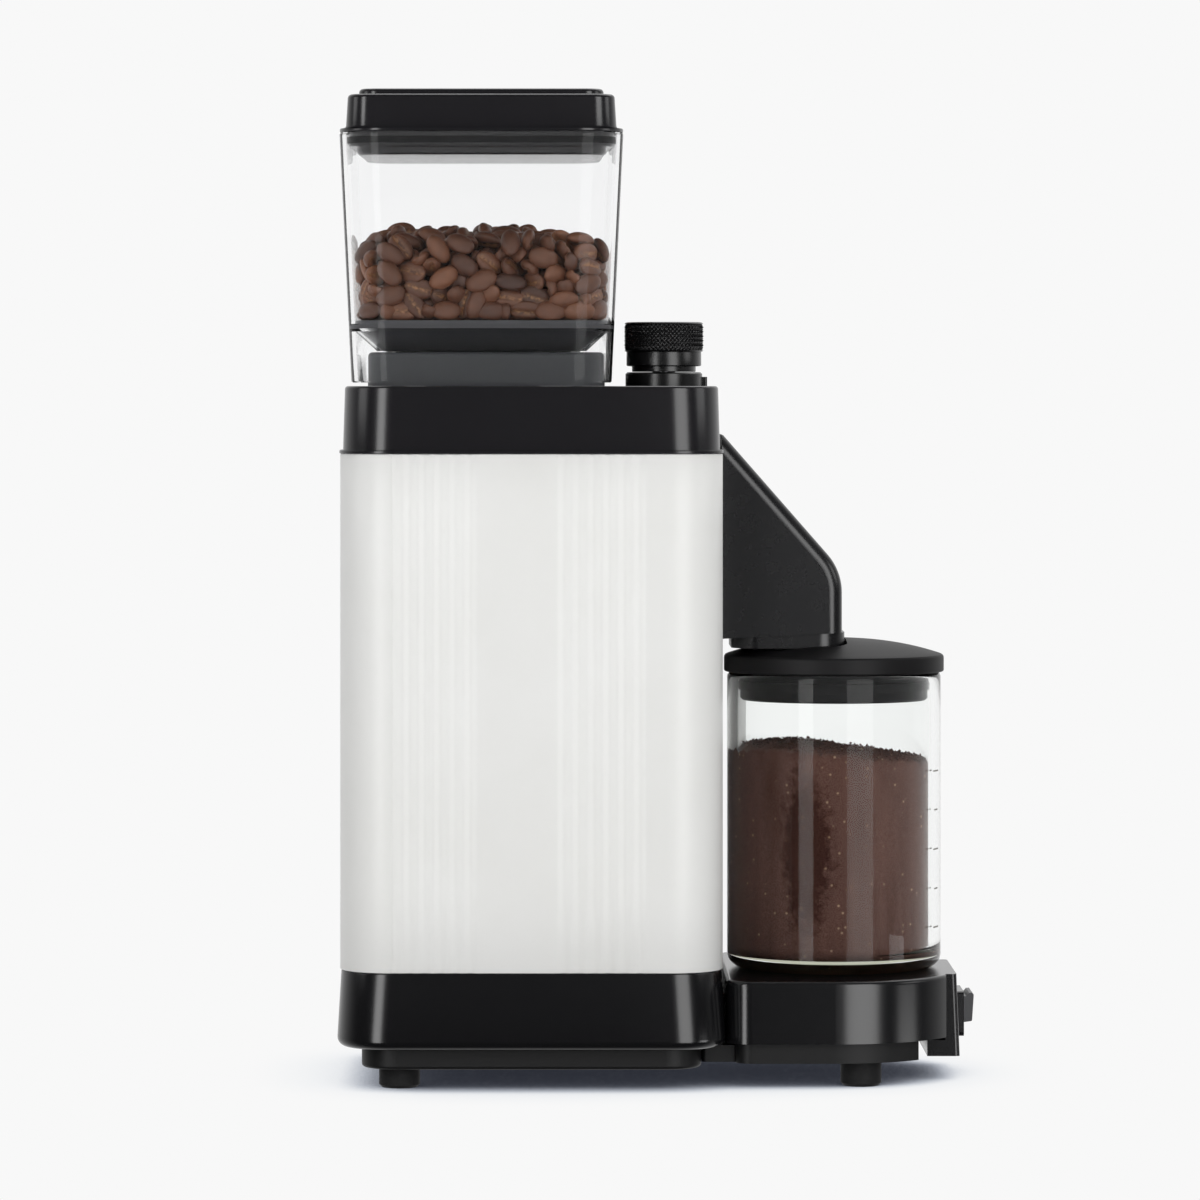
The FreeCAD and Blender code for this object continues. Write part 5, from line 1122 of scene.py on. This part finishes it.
# ------------------------------------------------------- materials of CAD nodes
BY_NODE = {
    "bottom_plate": M_PLATE, "platform_bottom_plate": M_PLATE,
    "jar_platform": M_BASE, "switch_plate": M_BASE, "switch_bezel": M_COVER,
    "switch_body": M_PLATE, "switch_rocker": M_ROCKER,
    "rubber_feet": M_RUBBER, "knob_base_ring": M_KNOB,
    "chute_shell": M_CHUTE, "spout_collar": M_CHUTE, "grounds_duct": M_PLATE,
    "hopper_floor": M_SMOKE, "lid_seal": M_RUBBER, "jar_lid_seal": M_RUBBER,
    "cord_gland": M_RUBBER, "board_components": M_PLATE,
}
BY_SLOT = {
    "black_plastic": M_COVER, "white_paint": M_WHITE, "rubber": M_RUBBER,
    "steel": M_STEEL, "cast_metal": M_CAST, "brass": M_BRASS,
    "copper": M_COPPER, "magnet": M_MAGNET, "carbon": M_CARBON,
    "grey_plastic": M_GREYP, "nylon": M_NYLON, "board_green": M_BOARD,
    "lead_sheath": M_LEAD, "clear_plastic": M_CLEAR, "glass": M_GLASS,
    "smoke_plastic": M_SMOKE, "bean_brown": M_BEAN, "grounds_brown": M_GROUNDS,
}
SLOT = {p["node"]: p["material_slot"] for p in frame["record"]["subparts"]}
for name, ob in NODES.items():
    mat = BY_NODE.get(name) or BY_SLOT[SLOT[name]]
    ob.data.materials.clear()
    ob.data.materials.append(mat)

# ------------------------------------------------------------------ stage
me = bpy.data.meshes.new("floor")
me.from_pydata([(-6, -3, 0), (6, -3, 0), (6, 14, 0), (-6, 14, 0)], [],
               [(0, 1, 2, 3)])
floor = bpy.data.objects.new("floor", me)
scene.collection.objects.link(floor)
m = Mat("pale_floor_painted_shadow")
out = m.t.nodes["Material Output"]
# Camera and transmission rays see an emission whose colour darkens with ambient
# occlusion: a painted contact shadow under the object, not a shadow cast by the
# lamps.
ao = m.node("ShaderNodeAmbientOcclusion")
ao.samples = 12
ao.inputs["Distance"].default_value = 0.055
seen = m.node("ShaderNodeEmission")
m.link(m.ramp(ao.outputs["AO"], [
    (0.0, (0.020, 0.022, 0.030)), (0.12, (0.060, 0.066, 0.085)),
    (0.32, (0.47, 0.50, 0.56)), (0.52, (0.85, 0.865, 0.885)),
    (0.85, (0.9387, 0.9387, 0.9387))]), seen.inputs["Color"])
# Other rays meet a grey diffuse floor plus a faint emission (strength 0.14),
# painted fill light that glows up onto the object from below.
m.set(color=m.ramp(m.noise(3, 2), [(0.2, (0.50, 0.50, 0.505)),
                                   (0.8, (0.51, 0.51, 0.515))]),
      rough=0.9, spec=0.0)
em = m.node("ShaderNodeEmission")
em.inputs["Strength"].default_value = 0.14
add = m.node("ShaderNodeAddShader")
m.link(m.b.outputs[0], add.inputs[0])
m.link(em.outputs[0], add.inputs[1])
path = m.node("ShaderNodeLightPath")
which = m.math("MAXIMUM", path.outputs["Is Camera Ray"],
               path.outputs["Is Transmission Ray"])
pick = m.node("ShaderNodeMixShader")
m.link(which, pick.inputs[0])
m.link(add.outputs[0], pick.inputs[1])
m.link(seen.outputs[0], pick.inputs[2])
m.link(pick.outputs[0], out.inputs["Surface"])
floor.visible_glossy = False
me.materials.append(m.m)

world = bpy.data.worlds.new("studio")
scene.world = world
world.use_nodes = True
wt = world.node_tree
for n in list(wt.nodes):
    wt.nodes.remove(n)
wo = wt.nodes.new("ShaderNodeOutputWorld")
bg_seen = wt.nodes.new("ShaderNodeBackground")
bg_seen.inputs["Color"].default_value = (0.9387, 0.9387, 0.9387, 1)
bg_lit = wt.nodes.new("ShaderNodeBackground")
bg_lit.inputs["Strength"].default_value = 1.0
tc = wt.nodes.new("ShaderNodeTexCoord")
sep = wt.nodes.new("ShaderNodeSeparateXYZ")
wt.links.new(tc.outputs["Generated"], sep.inputs[0])
# darker towards the camera's side, paler behind and above
mr = wt.nodes.new("ShaderNodeMapRange")
mr.interpolation_type = "SMOOTHSTEP"
mr.inputs["From Min"].default_value = -0.25
mr.inputs["From Max"].default_value = 0.85
mr.inputs["To Min"].default_value = 0.045
mr.inputs["To Max"].default_value = 0.90
wt.links.new(sep.outputs["Y"], mr.inputs["Value"])
wt.links.new(mr.outputs["Result"], bg_lit.inputs["Color"])
lp_ = wt.nodes.new("ShaderNodeLightPath")
mx = wt.nodes.new("ShaderNodeMath")
mx.operation = "MAXIMUM"
wt.links.new(lp_.outputs["Is Camera Ray"], mx.inputs[0])
wt.links.new(lp_.outputs["Is Transmission Ray"], mx.inputs[1])
mixw = wt.nodes.new("ShaderNodeMixShader")
wt.links.new(mx.outputs[0], mixw.inputs[0])
wt.links.new(bg_lit.outputs[0], mixw.inputs[1])
wt.links.new(bg_seen.outputs[0], mixw.inputs[2])
wt.links.new(mixw.outputs[0], wo.inputs["Surface"])


def softbox(name, az, dist, z, w, h, power, aim=(0, 0, 0.17), color=(1, 1, 1)):
    """Area light at an azimuth from the camera side, turned to the object."""
    a = math.radians(az)
    loc = Vector((BX * S + dist * math.sin(a), -dist * math.cos(a), z))
    ld = bpy.data.lights.new(name, "AREA")
    ld.shape = "RECTANGLE"
    ld.size, ld.size_y = w, h
    ld.energy = power
    ld.color = color
    ob = bpy.data.objects.new(name, ld)
    scene.collection.objects.link(ob)
    ob.location = loc
    d = Vector((BX * S + aim[0], aim[1], aim[2])) - loc
    ob.rotation_euler = d.to_track_quat("-Z", "Y").to_euler()
    ob.visible_camera = False
    ob.visible_transmission = False
    return ob


softbox("key_right", 29, 1.5, 0.32, 0.74, 1.8, 16.5, (0, 0, 0.32))
softbox("key_left", -29, 1.5, 0.32, 0.44, 1.8, 13.0, (0, 0, 0.32))
softbox("side_left_high", -76, 1.3, 0.62, 0.5, 0.5, 1.6, (0, 0, 0.62))
softbox("side_right_high", 78, 1.3, 0.62, 0.5, 0.5, 1.6, (0, 0, 0.62))
softbox("side_right_low", 70, 1.3, -0.26, 0.40, 0.30, 1.6, (0, 0, -0.26))
softbox("top", 160, 0.5, 1.25, 1.2, 1.2, 6, (0.03, 0, 0.2))

cam = bpy.data.cameras.new("camera")
co = bpy.data.objects.new("camera", cam)
scene.collection.objects.link(co)
co.location = ((BX + 9.7) * S, -2.052, 0.2383)
co.rotation_euler = (math.radians(90), 0, 0)
cam.sensor_width = 36
cam.lens = 177.0
cam.shift_x = 0.0333
cam.shift_y = -0.1783
cam.clip_end = 50
scene.camera = co
